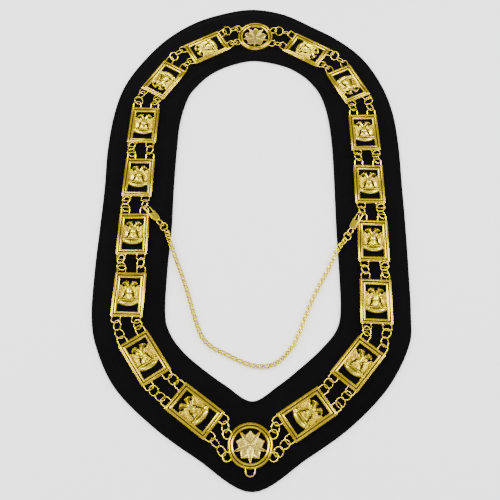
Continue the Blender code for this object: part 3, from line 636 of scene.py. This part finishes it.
def loop_shape():
    """The round loop of a disc, out along X: its two ends close up inside the rim."""
    radius = (LUG_WIDTH - LUG_WIRE) / 2
    turn = np.radians(np.linspace(-LOOP_HALF_TURN, LOOP_HALF_TURN, 31))[:, None]
    middle = LUG_REACH - LUG_WIRE / 2 - radius
    path = np.concatenate([middle + radius * np.cos(turn), radius * np.sin(turn), turn * 0], 1)
    return Shape().wire(path, (0, 0, 1), LUG_WIRE)


def lug_shape():
    """A bent wire lug, out along X and across along Y: two legs and a bow with round corners, soldered."""
    half, corner, tip = (LUG_WIDTH - LUG_WIRE) / 2, LUG_CORNER, LUG_REACH - LUG_WIRE / 2
    turn = np.linspace(-pi / 2, 0, 9)
    bend = np.stack([tip - corner + corner * np.cos(turn), corner - half + corner * np.sin(turn)], -1)
    leg = np.stack([np.linspace(-LUG_ROOT, tip - corner, 6), np.full(6, -half)], -1)[:-1]
    side = np.concatenate([leg, bend])
    flat = np.concatenate([side, (side * (1, -1))[::-1]])
    path = np.concatenate([flat, np.zeros((len(flat), 1))], axis=1)
    shape = Shape().wire(path, (0, 0, 1), LUG_WIRE)
    for side in (1, -1):
        reach = np.linspace(LUG_FOOT_START, LUG_FOOT_END, len(LUG_FOOT))
        foot = np.stack([reach, np.full_like(reach, -half * side), np.full_like(reach, -0.1 * MM)], -1)
        shape.wire(foot, (0, 0, 1), LUG_FOOT)
    return shape


def lug_matrix(base, outward, rise):
    """Where a lug stands: its root at a base point, rising outward."""
    out = Vector((outward[0] * cos(rise), outward[1] * cos(rise), sin(rise)))
    side = Vector((-outward[1], outward[0], 0))
    matrix = Matrix((out, side, out.cross(side))).transposed().to_4x4()
    matrix.translation = (base[0], base[1], PLAQUE_BASE + LUG_HEIGHT)
    return matrix


def lugs_of(name):
    """The four lugs of a plaque or disc, where they stand on the collar."""
    index = ROUND_THE_COLLAR.index(name)
    lugs = []
    for other in (ROUND_THE_COLLAR[index - 1], ROUND_THE_COLLAR[(index + 1) % len(ROUND_THE_COLLAR)]):
        for number, (base, outward) in enumerate(facing_lugs(name, other)):
            rise = TUCKED_LUG_RISE if (name, other, number) == ("top", "L1", 0) else LUG_RISE
            lug = loop_shape() if name in DISCS else lug_shape()
            lugs.append(lug.moved(lug_matrix(base, outward, rise)))
    return lugs


def frame_shape(depth):
    """The moulded frame: its profile carried round the four mitred corners, softened at each."""
    shape = Shape()
    corners, across = [], []
    for angle in (45, 135, 225, 315):
        for step in (-1, 1):
            turn = radians(angle)
            sign = np.sign((cos(turn), sin(turn)))
            shift = np.array((-sin(turn), cos(turn))) * step * FRAME_CORNER
            corners.append(sign * PLAQUE_SIZE / 2 + shift)
            across.append(sign * BORDER)
    corners, across = np.array(corners), np.array(across)
    rows = np.zeros((len(corners), len(MOULDING), 3))
    rows[..., :2] = corners[:, None] - across[:, None] * MOULDING[None, :, :1]
    limit = PLAQUE_SIZE / 2 - BORDER * MOULDING[:, :1]
    rows[..., :2] = np.clip(rows[..., :2], -limit[None], limit[None])
    rows[..., 2] = MOULDING[None, :, 1] * depth
    # The moulding's painted shade darkens the frame's grooves.
    return shape.add(rows, grid_faces(len(corners), len(MOULDING), True, True), (), MOULDING[:, 2])


def eagle_shape():
    """The cast eagle: a pierced plate, and feathers, limbs, heads and ribbon laid on it as leaves."""
    right = np.array(EAGLE_PLATE) * MM
    outline = np.concatenate([right, (right[1:-1] * (-1, 1))[::-1]])[::-1]
    slit = np.array(TAIL_SLIT) * MM
    shape = Shape().plate([outline, slit, (slit * (-1, 1))[::-1]], EAGLE_PLATE_LOW, EAGLE_PLATE_HIGH)
    for root_x, root_y, tip_x, tip_y, width, height, base, bend in EAGLE_SIDE:
        for side in (1, -1):
            shape.leaf(np.array((root_x * side, root_y)) * MM, np.array((tip_x * side, tip_y)) * MM,
                       width * MM, height * MM, base * MM, bend * side * MM)
    for root_x, root_y, tip_x, tip_y, width, height, base, bend in EAGLE_MIDDLE:
        shape.leaf(np.array((root_x, root_y)) * MM, np.array((tip_x, tip_y)) * MM,
                   width * MM, height * MM, base * MM, bend * MM, rows=16, ridge=0.05)
    return shape


def star_shape():
    """The two-storey star: a low one of short broad rays, and one of long ridged rays over it.

    A ray's points are v of the way from its ridge to its edge, u of the way from the valleys to the
    tip. Its height falls from the ridge, rises in a lip at the edge, and is ribbed across.
    """
    shape = Shape()
    u = np.concatenate([np.linspace(0, 0.9, 40), [0.94, 0.985]])[:, None]
    v = np.array((-1.0, -1.0, -0.95, -0.88, -0.78, -0.6, -0.4, -0.2, -0.05))
    v = np.concatenate([v, -v[::-1]])[None, :]
    half_ray = pi / STAR_RAYS
    for start, tip, valley, low, rim, crown in STAR_STOREYS:
        for number in range(STAR_RAYS):
            turn = radians(start + 360 / STAR_RAYS * number)
            edge_x = valley * cos(half_ray) + (tip - valley * cos(half_ray)) * u
            edge_y = valley * sin(half_ray) * (1 - u)
            x = edge_x * abs(v) + tip * u * (1 - abs(v))
            y = edge_y * v
            lip = 0.5 * np.exp(-((abs(v) - 0.86) / 0.08) ** 2)
            ribs = 0.14 * np.sin(u * RIB_WAVE) * np.clip(1 - abs(abs(v) - 0.42) / 0.4, 0, 1)
            top = rim + crown * (1 - abs(v)) * (1 - 0.55 * u) + lip + ribs
            top[:, [0, -1]] = low
            rows = np.stack([x * cos(turn) - y * sin(turn), x * sin(turn) + y * cos(turn), top], -1)
            floor = rows[:, 1:-1][:, ::-1].copy()
            floor[..., 2] = low
            rows = np.concatenate([rows, floor[:, ::4]], axis=1)[:, ::-1] * MM
            # Painted shade: dark between the ribs on the slopes beside the ridge, fading toward the tip and
            # the edges; the floor under the ray is fully dark.
            dark = np.clip(1.6 - abs(v - 0.05) / 0.42, 0, 1) * (0.62 - 0.38 * np.sin(u * RIB_WAVE))
            dark = dark * np.clip(1.15 - 0.6 * u, 0, 1) * (abs(v) > 0.1)
            dark = np.concatenate([dark, np.ones((len(u), floor[:, ::4].shape[1]))], axis=1)[:, ::-1]
            count = rows.shape[1]
            caps = [range(count), reversed(range((len(u) - 1) * count, len(u) * count))]
            shape.add(rows, grid_faces(len(u), count, False, True), caps, dark)
    return shape


def rim_shape(depth):
    """The round rim of a disc: the moulding's profile turned about the centre."""
    angle = (np.arange(RIM_SEGMENTS) * 2 * pi / RIM_SEGMENTS)[:, None]
    radius = DISC_RADIUS - MOULDING[None, :, 0] * RIM_WIDTH
    rows = np.stack([radius * np.cos(angle), radius * np.sin(angle),
                     np.broadcast_to(MOULDING[:, 1] * depth, (RIM_SEGMENTS, len(MOULDING)))], -1)
    # The moulding's painted shade darkens the rim's grooves.
    return Shape().add(rows, grid_faces(RIM_SEGMENTS, len(MOULDING), True, True), (), MOULDING[:, 2])


def bail_shape():
    """The bail under the lower disc: two legs and a half round of wire."""
    half, tip = BAIL_WIDTH / 2, -DISC_RADIUS - BAIL_REACH
    turn = np.linspace(pi, 2 * pi, 13)
    bow = np.stack([half * np.cos(turn), tip + half + half * np.sin(turn)], -1)
    leg = np.array([[-half, -DISC_RADIUS + BAIL_ROOT], [-half, tip + half + 0.4 * MM]])
    flat = np.concatenate([leg, bow, (leg * (-1, 1))[::-1]])
    path = np.concatenate([flat, np.full((len(flat), 1), LUG_HEIGHT)], 1)
    return Shape().wire(path, (0, 0, 1), BAIL_WIRE)


def merged(shapes):
    """Several shapes as one."""
    whole = Shape()
    for shape in shapes:
        whole.points += shape.points
        whole.patina += shape.patina
        whole.faces += [[i + whole.count for i in face] for face in shape.faces]
        whole.count += shape.count
    return whole


def clasp_matrix(name, size, wire):
    """Where a clasp lies: X from its hook to its eye, Y toward its lever, Z out of its face."""
    held, turn, dip, roll, hand, offset = CLASPS[name]
    turn, dip, roll = radians(turn), radians(dip), radians(roll)
    ring = strand_rings(*held, True, size, wire)[0]
    along = Vector((cos(turn) * cos(dip), sin(turn) * cos(dip), -sin(dip)))
    level = Vector((0, 0, 1)).cross(along).normalized()
    across = level * cos(roll) * hand + along.cross(level) * sin(roll)
    matrix = Matrix((along, across, along.cross(across))).transposed().to_4x4()
    matrix.translation = Vector(ring[0]) + Vector(offset) * size
    return matrix


def hook_path():
    """Centreline of the hook: straight bar from the body, then round its top to its tip."""
    half = CLASP_LOOP / 2
    middle = CLASP_WIRE / 2 + half
    angle = np.radians(np.linspace(-90, 62, 19))
    bow = np.stack([middle - half * np.cos(angle), half * np.sin(angle)], -1)
    bar = np.stack([np.linspace(BODY_START + 1.5 * MM, middle, 6), np.full(6, -half)], -1)[:-1]
    flat = np.concatenate([bar, bow])
    return np.concatenate([flat, np.zeros((len(flat), 1))], 1)


def rounded_square(angle, power):
    """A square with round corners as two functions of the angle: the lower the power, the squarer."""
    return [np.sign(part) * abs(part) ** power for part in (np.cos(angle), np.sin(angle))]


def clasp_shape():
    """Hook, forked body with its pin, and eye of a clasp.

    The body is a rounded box whose half width follows a long waist toward the eye; its cheeks are two
    plates with the lever's slot between them, joined along the fixed bar.
    """
    shape = Shape()
    path = hook_path()
    count = len(path)
    thick = np.interp(np.linspace(0, 1, count), (0, 0.3, 0.9, 1), (1.9, 1.5, 1.5, 1.15)) * MM
    shape.wire(path, (0, 0, 1), thick, sides=14)
    half = (CLASP_LOOP + CLASP_WIRE) / 2
    rows = 15
    share = np.linspace(0, 1, rows)
    lower = -half + 1.25 * MM * share ** 3
    upper = half - 1.2 * MM * share ** 3 - 0.5 * MM * (1 - share) ** 4
    end = np.sqrt(np.clip(1 - (2 * share - 1) ** 12, 0, 1)) * 0.25 + 0.75
    angle = np.arange(20) * 2 * pi / 20
    round_x, round_z = rounded_square(angle, 0.45)
    split = -half + 2.6 * MM
    x = BODY_START + share * BODY_LENGTH
    for low, high, z_low, z_high in ((lower, np.minimum(upper, split), -BODY_DEEP, BODY_DEEP),
                                     (np.full(rows, split - 0.5 * MM), upper, SLOT_DEEP, BODY_DEEP),
                                     (np.full(rows, split - 0.5 * MM), upper, -BODY_DEEP, -SLOT_DEEP)):
        middle, wide = (low + high) / 2, (high - low) / 2
        centre_z, deep = (z_low + z_high) / 2 * MM, (z_high - z_low) / 2 * MM
        path = np.stack([x, middle, np.full(rows, centre_z)], -1)
        section = np.stack([-round_x[None] * (wide * end)[:, None],
                            np.broadcast_to(round_z[None] * deep, (rows, 20))], -1)
        shape.sweep(path, np.array((0, 1.0, 0)), np.array((0, 0, 1.0)), section)
    tail = np.stack([np.linspace(BODY_START + 5.6 * MM, BODY_START + BODY_LENGTH, 5), np.zeros(5)], -1)
    section = np.stack([-round_x * 2.3 * MM, round_z * 1.28 * MM], -1)
    shape.sweep(np.concatenate([tail, np.zeros((5, 1))], 1), (0, 1.0, 0), (0, 0, 1.0), section)
    pin = PIVOT + np.array((0, 0, 1.0)) * np.linspace(-1.45, 1.45, 4)[:, None] * MM
    shape.wire(pin, (1.0, 0, 0), np.array((1.1, 0.9, 0.9, 1.1)) * MM, sides=14)
    eye_end = CLASP_LENGTH - CLASP_WIRE / 2
    eye_start = BODY_START + BODY_LENGTH - CLASP_WIRE / 4
    angle = (np.arange(32) * 2 * pi / 32)[:, None]
    eye = np.array(((eye_start + eye_end) / 2, 0, 0)) + np.concatenate(
        [np.cos(angle) * (eye_end - eye_start) / 2, np.sin(angle) * EYE_WIDTH / 2, angle * 0], 1)
    return shape.wire(eye, (0, 0, 1), CLASP_WIRE, closed=True, sides=12)


def lever_shape():
    """The lever: a bar from its hub at the pin to the hook's tip, and a thumb tab that stands out."""
    shape = Shape()
    half = CLASP_LOOP / 2
    tip = hook_path()[-1]
    rows = 20
    share = np.linspace(0, 1, rows)
    x = tip[0] + 1.15 * MM + (PIVOT[0] + 1.2 * MM - tip[0] - 1.15 * MM) * share
    hub = np.exp(-((x - PIVOT[0]) / (1.5 * MM)) ** 2)
    tab = np.exp(-((x - PIVOT[0] + 2.9 * MM) / (1.25 * MM)) ** 2)
    low = half - 0.6 * MM - 1.5 * MM * hub
    high = half + 0.6 * MM + 1.35 * MM * tab - 0.9 * MM * np.clip((x - PIVOT[0]) / (1.2 * MM), 0, 1) ** 2
    close = np.sqrt(np.clip(1 - (2 * share - 1) ** 10, 0, 1)) * 0.4 + 0.6
    middle, wide = (low + high) / 2, (high - low) / 2 * close
    angle = np.arange(16) * 2 * pi / 16
    round_x, round_z = rounded_square(angle, 0.6)
    section = np.stack([-round_x[None] * wide[:, None],
                        np.broadcast_to(round_z[None] * 0.5 * MM, (rows, 16))], -1)
    return shape.sweep(np.stack([x, middle, x * 0], -1), (0, 1.0, 0), (0, 0, 1.0), section)


def end_ring(name, size, wire):
    """Path and normal of the jump ring between a clasp's eye and the chain, and its far side."""
    matrix = clasp_matrix(name, size, wire)
    eye = np.array(matrix @ Vector((CLASP_LENGTH - CLASP_WIRE / 2, 0, 0)))
    flat = unit(np.array(matrix.to_3x3().col[0])[:2])
    pitch = END_RING_PITCH
    run = np.array((flat[0] * cos(pitch), flat[1] * cos(pitch), sin(pitch)))
    centre = eye + run * (END_RING / 2 - END_RING_HOLD)
    path, normal = ring_path(centre, flat, END_RING, END_RING, END_RING_ROLL * CLASPS[name][4], pitch)
    return path, normal, centre + run * END_RING / 2


class Socket:
    """A shader value that takes part in ordinary arithmetic."""

    def __init__(self, paint, output):
        self.paint = paint
        self.output = output

    def maths(self, operation, *values):
        return self.paint.node("ShaderNodeMath", {"operation": operation}, *values)

    def __add__(self, other):
        return self.maths("ADD", self, other)

    def __radd__(self, other):
        return self.maths("ADD", other, self)

    def __sub__(self, other):
        return self.maths("SUBTRACT", self, other)

    def __mul__(self, other):
        return self.maths("MULTIPLY", self, other)

    def __rmul__(self, other):
        return self.maths("MULTIPLY", other, self)

    def clamped(self):
        """The value held between 0 and 1."""
        return self.paint.node("ShaderNodeClamp", {}, self)


class Paint:
    """A procedural finish under construction."""

    def __init__(self, name):
        self.material = bpy.data.materials.new(name)
        self.material.use_nodes = True
        self.tree = self.material.node_tree
        self.shader = self.tree.nodes["Principled BSDF"]

    def node(self, kind, settings, *values, output=0, **named):
        """Adds a node with its settings, then the values or links of its inputs; returns an output."""
        made = self.tree.nodes.new(kind)
        for key, value in settings.items():
            setattr(made, key, value)
        for key, value in [*enumerate(values), *named.items()]:
            name = key if isinstance(key, int) else key.replace("_", " ").title()
            self.feed(made.inputs[name], value)
        return Socket(self, made.outputs[output])

    def feed(self, entry, value):
        """Links or sets one input."""
        if isinstance(value, Socket):
            self.tree.links.new(value.output, entry)
        else:
            entry.default_value = value

    def place(self):
        """Object coordinates."""
        return self.node("ShaderNodeTexCoord", {}, output="Object")

    def noise(self, scale, detail=3.0, roughness=0.55):
        """Fractal noise from 0 to 1 at a scale in waves a metre."""
        return self.node("ShaderNodeTexNoise", {}, Vector=self.place(), Scale=scale, Detail=detail,
                         Roughness=roughness)

    def blend(self, factor, first, second):
        """One colour turning into another."""
        mixed = self.node("ShaderNodeMix", {"data_type": "RGBA"}, output=2)
        node = mixed.output.node
        for index, value in ((0, factor), (6, first), (7, second)):
            self.feed(node.inputs[index], value)
        return mixed

    def bump(self, height, strength, distance):
        """A bumped normal from a height."""
        return self.node("ShaderNodeBump", {}, Strength=strength, Distance=distance, Height=height)

    def finish(self, **inputs):
        """Feeds the shader and returns the material."""
        for key, value in inputs.items():
            self.feed(self.shader.inputs[key.replace("_", " ")], value)
        return self.material


def rgba(colour, gain=1.0):
    """A colour with alpha, made lighter or darker."""
    return (*(min(1.0, c * gain) for c in colour), 1.0)


def gilt_finish(name, colour, roughness, grain, relief):
    """Gilding: base colour drifting a little in warmth, hazy patches, a fine cast or drawn grain, and painted
    shade.
    """
    paint = Paint(name)
    haze = paint.noise(140.0, 4.0)
    fine = paint.noise(grain, 4.0, 0.6)
    drift = ((haze - 0.35) * 1.6).clamped()
    base = paint.blend(drift, rgba(colour, 0.93), rgba((colour[0], colour[1] * 1.03, colour[2])))
    # Painted shade: the base colour turns near black where the mesh's painted shade attribute is high.
    patina = paint.node("ShaderNodeAttribute", {"attribute_name": "patina"}, output="Fac")
    base = paint.blend(patina, base, rgba((colour[0] * 0.11, colour[1] * 0.11, colour[2] * 0.1)))
    rough = roughness * (0.75 + haze * 0.35 + fine * 0.15) + patina * 0.3
    normal = paint.bump(fine, relief, 0.00012)
    return paint.finish(Base_Color=base, Roughness=rough, Metallic=1.0, Normal=normal)


def velvet_finish(name, colour):
    """Black pile: soft brushed patches, a fine nap and a faint sheen."""
    paint = Paint(name)
    brushed = paint.noise(38.0, 3.0)
    nap = paint.noise(2600.0, 2.0, 0.7)
    lint = paint.noise(900.0, 1.0, 0.4)
    tone = ((brushed - 0.3) * 1.3).clamped()
    base = paint.blend(tone, rgba(colour, 0.75), rgba(colour, 1.9))
    flecks = ((lint - 0.74) * 9.0).clamped() * 0.35
    base = paint.blend(flecks, base, rgba(colour, 9.0))
    normal = paint.bump(nap + brushed * 0.4, 0.55, 0.00025)
    rough = 0.9 + brushed * 0.1
    paint.shader.inputs["Sheen Weight"].default_value = 0.03
    paint.shader.inputs["Sheen Roughness"].default_value = 0.4
    paint.shader.inputs["Specular IOR Level"].default_value = 0.06
    return paint.finish(Base_Color=base, Roughness=rough, Normal=normal)


def finish_of(name):
    """A finish made once and kept by name."""
    if name in bpy.data.materials:
        return bpy.data.materials[name]
    scene = bpy.context.scene
    cast, wire = scene.regalia_cast, scene.regalia_wire
    relief_gold = [part * gain for part, gain in zip(cast.gold, RELIEF_GAIN)]
    makers = {
        "polished gilding": lambda: gilt_finish(name, cast.gold, 0.17, 900.0, 0.03),
        "cast gilding": lambda: gilt_finish(name, relief_gold, 0.19, 1100.0, 0.12),
        "brushed gilding": lambda: gilt_finish(name, cast.pale, 0.22, 2400.0, 0.15),
        "drawn gilt wire": lambda: gilt_finish(name, wire.gold, 0.15, 700.0, 0.03),
        "gilt chain": lambda: gilt_finish(name, wire.chain_gold, 0.16, 800.0, 0.05),
        "black velvet": lambda: velvet_finish(name, scene.regalia_velvet.colour),
        "studio floor": lambda: plain_finish(name),
    }
    return makers[name]()


def plain_finish(name):
    """Pale matt studio paper."""
    paint = Paint(name)
    grain = paint.noise(60.0, 2.0)
    base = paint.blend(grain, (0.86, 0.86, 0.86, 1), (0.88, 0.88, 0.88, 1))
    return paint.finish(Base_Color=base, Roughness=0.9, Emission_Color=rgba((1, 1, 1)), Emission_Strength=0.8)


def dress(piece, slot, *nodes, body=COLLAR_BODY):
    """Puts a piece on its body, in place of its solids. Its slot is not used."""
    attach(piece, body)
    if nodes:
        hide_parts(*nodes)
    return piece


class BuildVelvet(bpy.types.Operator):
    """Build the velvet band of the collar"""

    bl_idname = "regalia.velvet"
    bl_label = "Velvet collar"

    def execute(self, context):
        settings = context.scene.regalia_velvet
        size = np.array((COLLAR_WIDTH, COLLAR_LENGTH, COLLAR_WIDTH, COLLAR_LENGTH))
        edges = closed_curve(BAND_STATIONS * size, 8)
        outer = np.concatenate([edges[:, :2], np.zeros((len(edges), 1))], 1)
        inner = np.concatenate([edges[:, 2:], np.zeros((len(edges), 1))], 1)
        width = np.linalg.norm(inner - outer, axis=1)
        inward = (inner - outer) / width[:, None]
        top = COLLAR_THICKNESS
        seam = settings.seam
        share = np.linspace(0, 1, 15)
        rows = []
        for reach, height in VELVET_EDGE:
            rows.append(outer + inward * reach + np.array((0, 0, height)))
        for reach, drop in ((seam - SEAM_HALF, 0.0), (seam, SEAM_DEPTH), (seam + SEAM_HALF, 0.0)):
            rows.append(outer + inward * reach + np.array((0, 0, top - drop)))
        for s in share[1:-1]:
            reach = (seam + SEAM_SHOULDER) + (width - 2 * (seam + SEAM_SHOULDER)) * s
            swell = settings.swell * sin(pi * s) ** 0.5
            rows.append(outer + inward * reach[:, None] + np.array((0, 0, top + swell)))
        for reach, drop in ((seam + SEAM_HALF, 0.0), (seam, SEAM_DEPTH), (seam - SEAM_HALF, 0.0)):
            rows.append(inner - inward * reach + np.array((0, 0, top - drop)))
        for reach, height in VELVET_EDGE[::-1]:
            rows.append(inner - inward * reach + np.array((0, 0, height)))
        rows = np.stack(rows, axis=1)[:, ::-1]
        shape = Shape().add(rows, grid_faces(rows.shape[0], rows.shape[1], True, True))
        piece = shape.mesh("velvet_band", finish_of("black velvet"), 60)
        dress(piece, "velvet", "velvet_collar")
        loop = [np.concatenate([edge, edge[:1]]) for edge in (outer, inner)]
        areas = [abs((e[:-1, 0] * e[1:, 1] - e[1:, 0] * e[:-1, 1]).sum()) / 2 for e in loop]
        areas[0] - areas[1]
        return {"FINISHED"}


class BuildPlaques(bpy.types.Operator):
    """Build the sixteen cast plaques with their lugs"""

    bl_idname = "regalia.plaques"
    bl_label = "Plaques"

    def execute(self, context):
        depth = context.scene.regalia_cast.depth
        frame_part, eagle_part = frame_shape(depth), eagle_shape()
        for name, (_, _, turn) in PLAQUES.items():
            centre = centre_of(name)
            matrix = Matrix.Translation((*centre, PLAQUE_BASE)) @ Matrix.Rotation(radians(turn), 4, "Z")
            border = frame_part.moved(matrix).mesh(f"frame_{name}", finish_of("polished gilding"), 50)
            dress(border, "gilt_brass", f"plaque_{name}")
            eagle = eagle_part.moved(matrix).mesh(f"eagle_{name}", finish_of("cast gilding"), 70)
            dress(eagle, "gilt_brass")
            lugs = merged(lugs_of(name))
            dress(lugs.mesh(f"lugs_{name}", finish_of("drawn gilt wire"), 60), "gilt_brass")
        return {"FINISHED"}


class BuildDiscs(bpy.types.Operator):
    """Build the two star discs with their lugs and the bail"""

    bl_idname = "regalia.discs"
    bl_label = "Star discs"

    def execute(self, context):
        depth = context.scene.regalia_cast.depth
        for name in DISCS:
            turn = Matrix.Rotation(radians(DISCS[name][2]), 4, "Z")
            matrix = Matrix.Translation((*centre_of(name), PLAQUE_BASE)) @ turn
            rim = rim_shape(depth).moved(matrix).mesh(f"rim_{name}", finish_of("polished gilding"), 50)
            dress(rim, "gilt_brass", f"star_disc_{name}")
            star = star_shape().moved(matrix).mesh(f"star_{name}", finish_of("brushed gilding"), 30)
            dress(star, "gilt_brass")
            bail = [bail_shape().moved(matrix)] if name == "bottom" else []
            lugs = merged([*lugs_of(name), *bail])
            dress(lugs.mesh(f"lugs_{name}", finish_of("drawn gilt wire"), 60), "gilt_brass")
        return {"FINISHED"}


class BuildRings(bpy.types.Operator):
    """Build the jump rings of both strands"""

    bl_idname = "regalia.rings"
    bl_label = "Jump rings"

    def execute(self, context):
        wire = context.scene.regalia_wire
        segments = context.scene.regalia_stage.samples
        for first, second in zip(ROUND_THE_COLLAR, ROUND_THE_COLLAR[1:] + ROUND_THE_COLLAR[:1]):
            for inner in (True, False):
                shape = Shape()
                for ring in strand_rings(first, second, inner, wire.ring_size, wire.ring):
                    shape.wire(*ring_path(*ring, segments=segments), wire.ring, closed=True)
                name = f"{first}_{second}_{'inner' if inner else 'outer'}"
                piece = shape.mesh(f"rings_{name}", finish_of("drawn gilt wire"), 60)
                dress(piece, "ring_wire", f"links_{name}")
        return {"FINISHED"}


class BuildClasps(bpy.types.Operator):
    """Build the two sprung clasps and their levers"""

    bl_idname = "regalia.clasps"
    bl_label = "Clasps"

    def execute(self, context):
        wire = context.scene.regalia_wire
        bodies = {joint["name"]: joint["child"] for joint in frame["record"]["behaviour"]["joints"]}
        for name in CLASPS:
            matrix = clasp_matrix(name, wire.ring_size, wire.ring)
            clasp = clasp_shape().moved(matrix).mesh(f"clasp_body_{name}", finish_of("drawn gilt wire"), 50)
            dress(clasp, "clasp_gilt", f"clasp_{name}")
            lever = lever_shape().moved(matrix).mesh(f"clasp_tongue_{name}", finish_of("drawn gilt wire"), 50)
            dress(lever, "clasp_gilt", f"clasp_{name}_lever", body=bodies[f"{name}_lever_hinge"])
        return {"FINISHED"}


class BuildChain(bpy.types.Operator):
    """Build the links of the safety chain and its end rings"""

    bl_idname = "regalia.chain"
    bl_label = "Safety chain"

    def execute(self, context):
        wire = context.scene.regalia_wire
        size = np.array((COLLAR_WIDTH, COLLAR_LENGTH, MM))
        shape = Shape()
        ends = []
        for name in CLASPS:
            path, normal, far = end_ring(name, wire.ring_size, wire.ring)
            shape.wire(path, normal, END_RING_WIRE, closed=True)
            ends.append(far)
        route = open_curve(np.concatenate([[ends[0]], CHAIN_ROUTE * size, [ends[1]]]), 12)
        length = np.linalg.norm(np.diff(route, axis=0), axis=1).sum()
        count = int(round(length / wire.chain_pitch))
        points = even_points(route, count + 1)
        along = unit(np.diff(points, axis=0))
        middle = (points[1:] + points[:-1]) / 2
        level = unit(np.cross((0, 0, 1.0), along))
        up = np.cross(along, level)
        angle = (np.arange(CHAIN_LINK_SEGMENTS) * 2 * pi / CHAIN_LINK_SEGMENTS)[:, None]
        half_length, half_width = CHAIN_LINK / 2
        turn = np.arange(CHAIN_LINK_SIDES) * 2 * pi / CHAIN_LINK_SIDES
        # Painted shade: each link is darker on the inside of its loop and on its underside.
        dark = np.clip(np.maximum(-np.cos(turn), -np.sin(turn)), 0, 0.85)
        for index in range(count):
            roll = CHAIN_LINK_ROLL if index % 2 else -CHAIN_LINK_ROLL
            across = level[index] * cos(roll) + up[index] * sin(roll)
            lean = unit(along[index] + level[index] * CHAIN_LINK_LEAN)
            path = middle[index] + lean * np.cos(angle) * half_length + across * np.sin(angle) * half_width
            shape.wire(path, np.cross(lean, across), CHAIN_LINK_WIRE, closed=True, sides=CHAIN_LINK_SIDES)
            shape.patina[-1] = np.tile(dark, CHAIN_LINK_SEGMENTS)
        dress(shape.mesh("chain_links", finish_of("gilt chain"), 60), "fine_chain", "safety_chain")
        return {"FINISHED"}


class BuildStage(bpy.types.Operator):
    """Build the floor, lights and camera"""

    bl_idname = "regalia.stage"
    bl_label = "Stage"

    def execute(self, context):
        scene = context.scene
        grid = np.linspace(-FLOOR_REACH, FLOOR_REACH, 9)
        x, y = np.meshgrid(grid, grid)
        points = np.stack([y, x, np.full_like(x, FLOOR_HEIGHT)], -1)
        floor = Shape().add(points, grid_faces(9, 9, False, False)).mesh("floor", finish_of("studio floor"))
        camera = bpy.data.cameras.new("camera")
        camera.lens = scene.regalia_stage.focal
        camera.sensor_width = 36.0
        camera.clip_start = 0.01
        eye = bpy.data.objects.new("camera", camera)
        scene.collection.objects.link(eye)
        matrix = Matrix(CAMERA_AXES).transposed().to_4x4()
        matrix.translation = Vector(CAMERA_PLACE) * MM
        eye.matrix_world = matrix
        scene.camera = eye
        world = bpy.data.worlds.new("studio")
        world.use_nodes = True
        back = world.node_tree.nodes["Background"].inputs
        back["Color"].default_value, back["Strength"].default_value = (1.0, 1.0, 1.0, 1.0), WORLD_STRENGTH
        scene.world = world
        for name, place, width, height, power in SOFTBOXES:
            lamp = bpy.data.lights.new(name, "AREA")
            lamp.shape = "RECTANGLE"
            lamp.size, lamp.size_y, lamp.energy = width, height, power
            item = bpy.data.objects.new(name, lamp)
            scene.collection.objects.link(item)
            item.location = place
            item.rotation_mode = "QUATERNION"
            item.rotation_quaternion = Vector(place).to_track_quat("Z", "Y")
        return {"FINISHED"}


class RegaliaPanel(bpy.types.Panel):
    """Sizes, colours and build buttons of the collar"""

    bl_label = "Chain of Office"
    bl_idname = "VIEW3D_PT_regalia"
    bl_space_type = "VIEW_3D"
    bl_region_type = "UI"
    bl_category = "Regalia"

    def draw(self, context):
        for group in GROUPS:
            settings = getattr(context.scene, group)
            for prop in settings.bl_rna.properties:
                if prop.identifier not in {"rna_type", "name"}:
                    self.layout.prop(settings, prop.identifier)
        for operator in OPERATORS:
            self.layout.operator(operator.bl_idname)


GROUPS = {
    "regalia_velvet": VelvetSettings,
    "regalia_cast": CastSettings,
    "regalia_wire": WireSettings,
    "regalia_stage": StageSettings,
}
OPERATORS = (BuildStage, BuildVelvet, BuildPlaques, BuildDiscs, BuildRings, BuildClasps, BuildChain)


def register():
    """Registers the settings, operators and panel."""
    for cls in (*GROUPS.values(), *OPERATORS, RegaliaPanel):
        bpy.utils.register_class(cls)
    for name, cls in GROUPS.items():
        setattr(bpy.types.Scene, name, bpy.props.PointerProperty(type=cls))


def unregister():
    """Takes them all out again."""
    for name in GROUPS:
        delattr(bpy.types.Scene, name)
    for cls in reversed((*GROUPS.values(), *OPERATORS, RegaliaPanel)):
        bpy.utils.unregister_class(cls)


def main():
    """Registers the add-on and builds every piece in order."""
    register()
    for operator in OPERATORS:
        getattr(bpy.ops.regalia, operator.bl_idname.split(".")[1])()


if __name__ == "__main__":
    main()
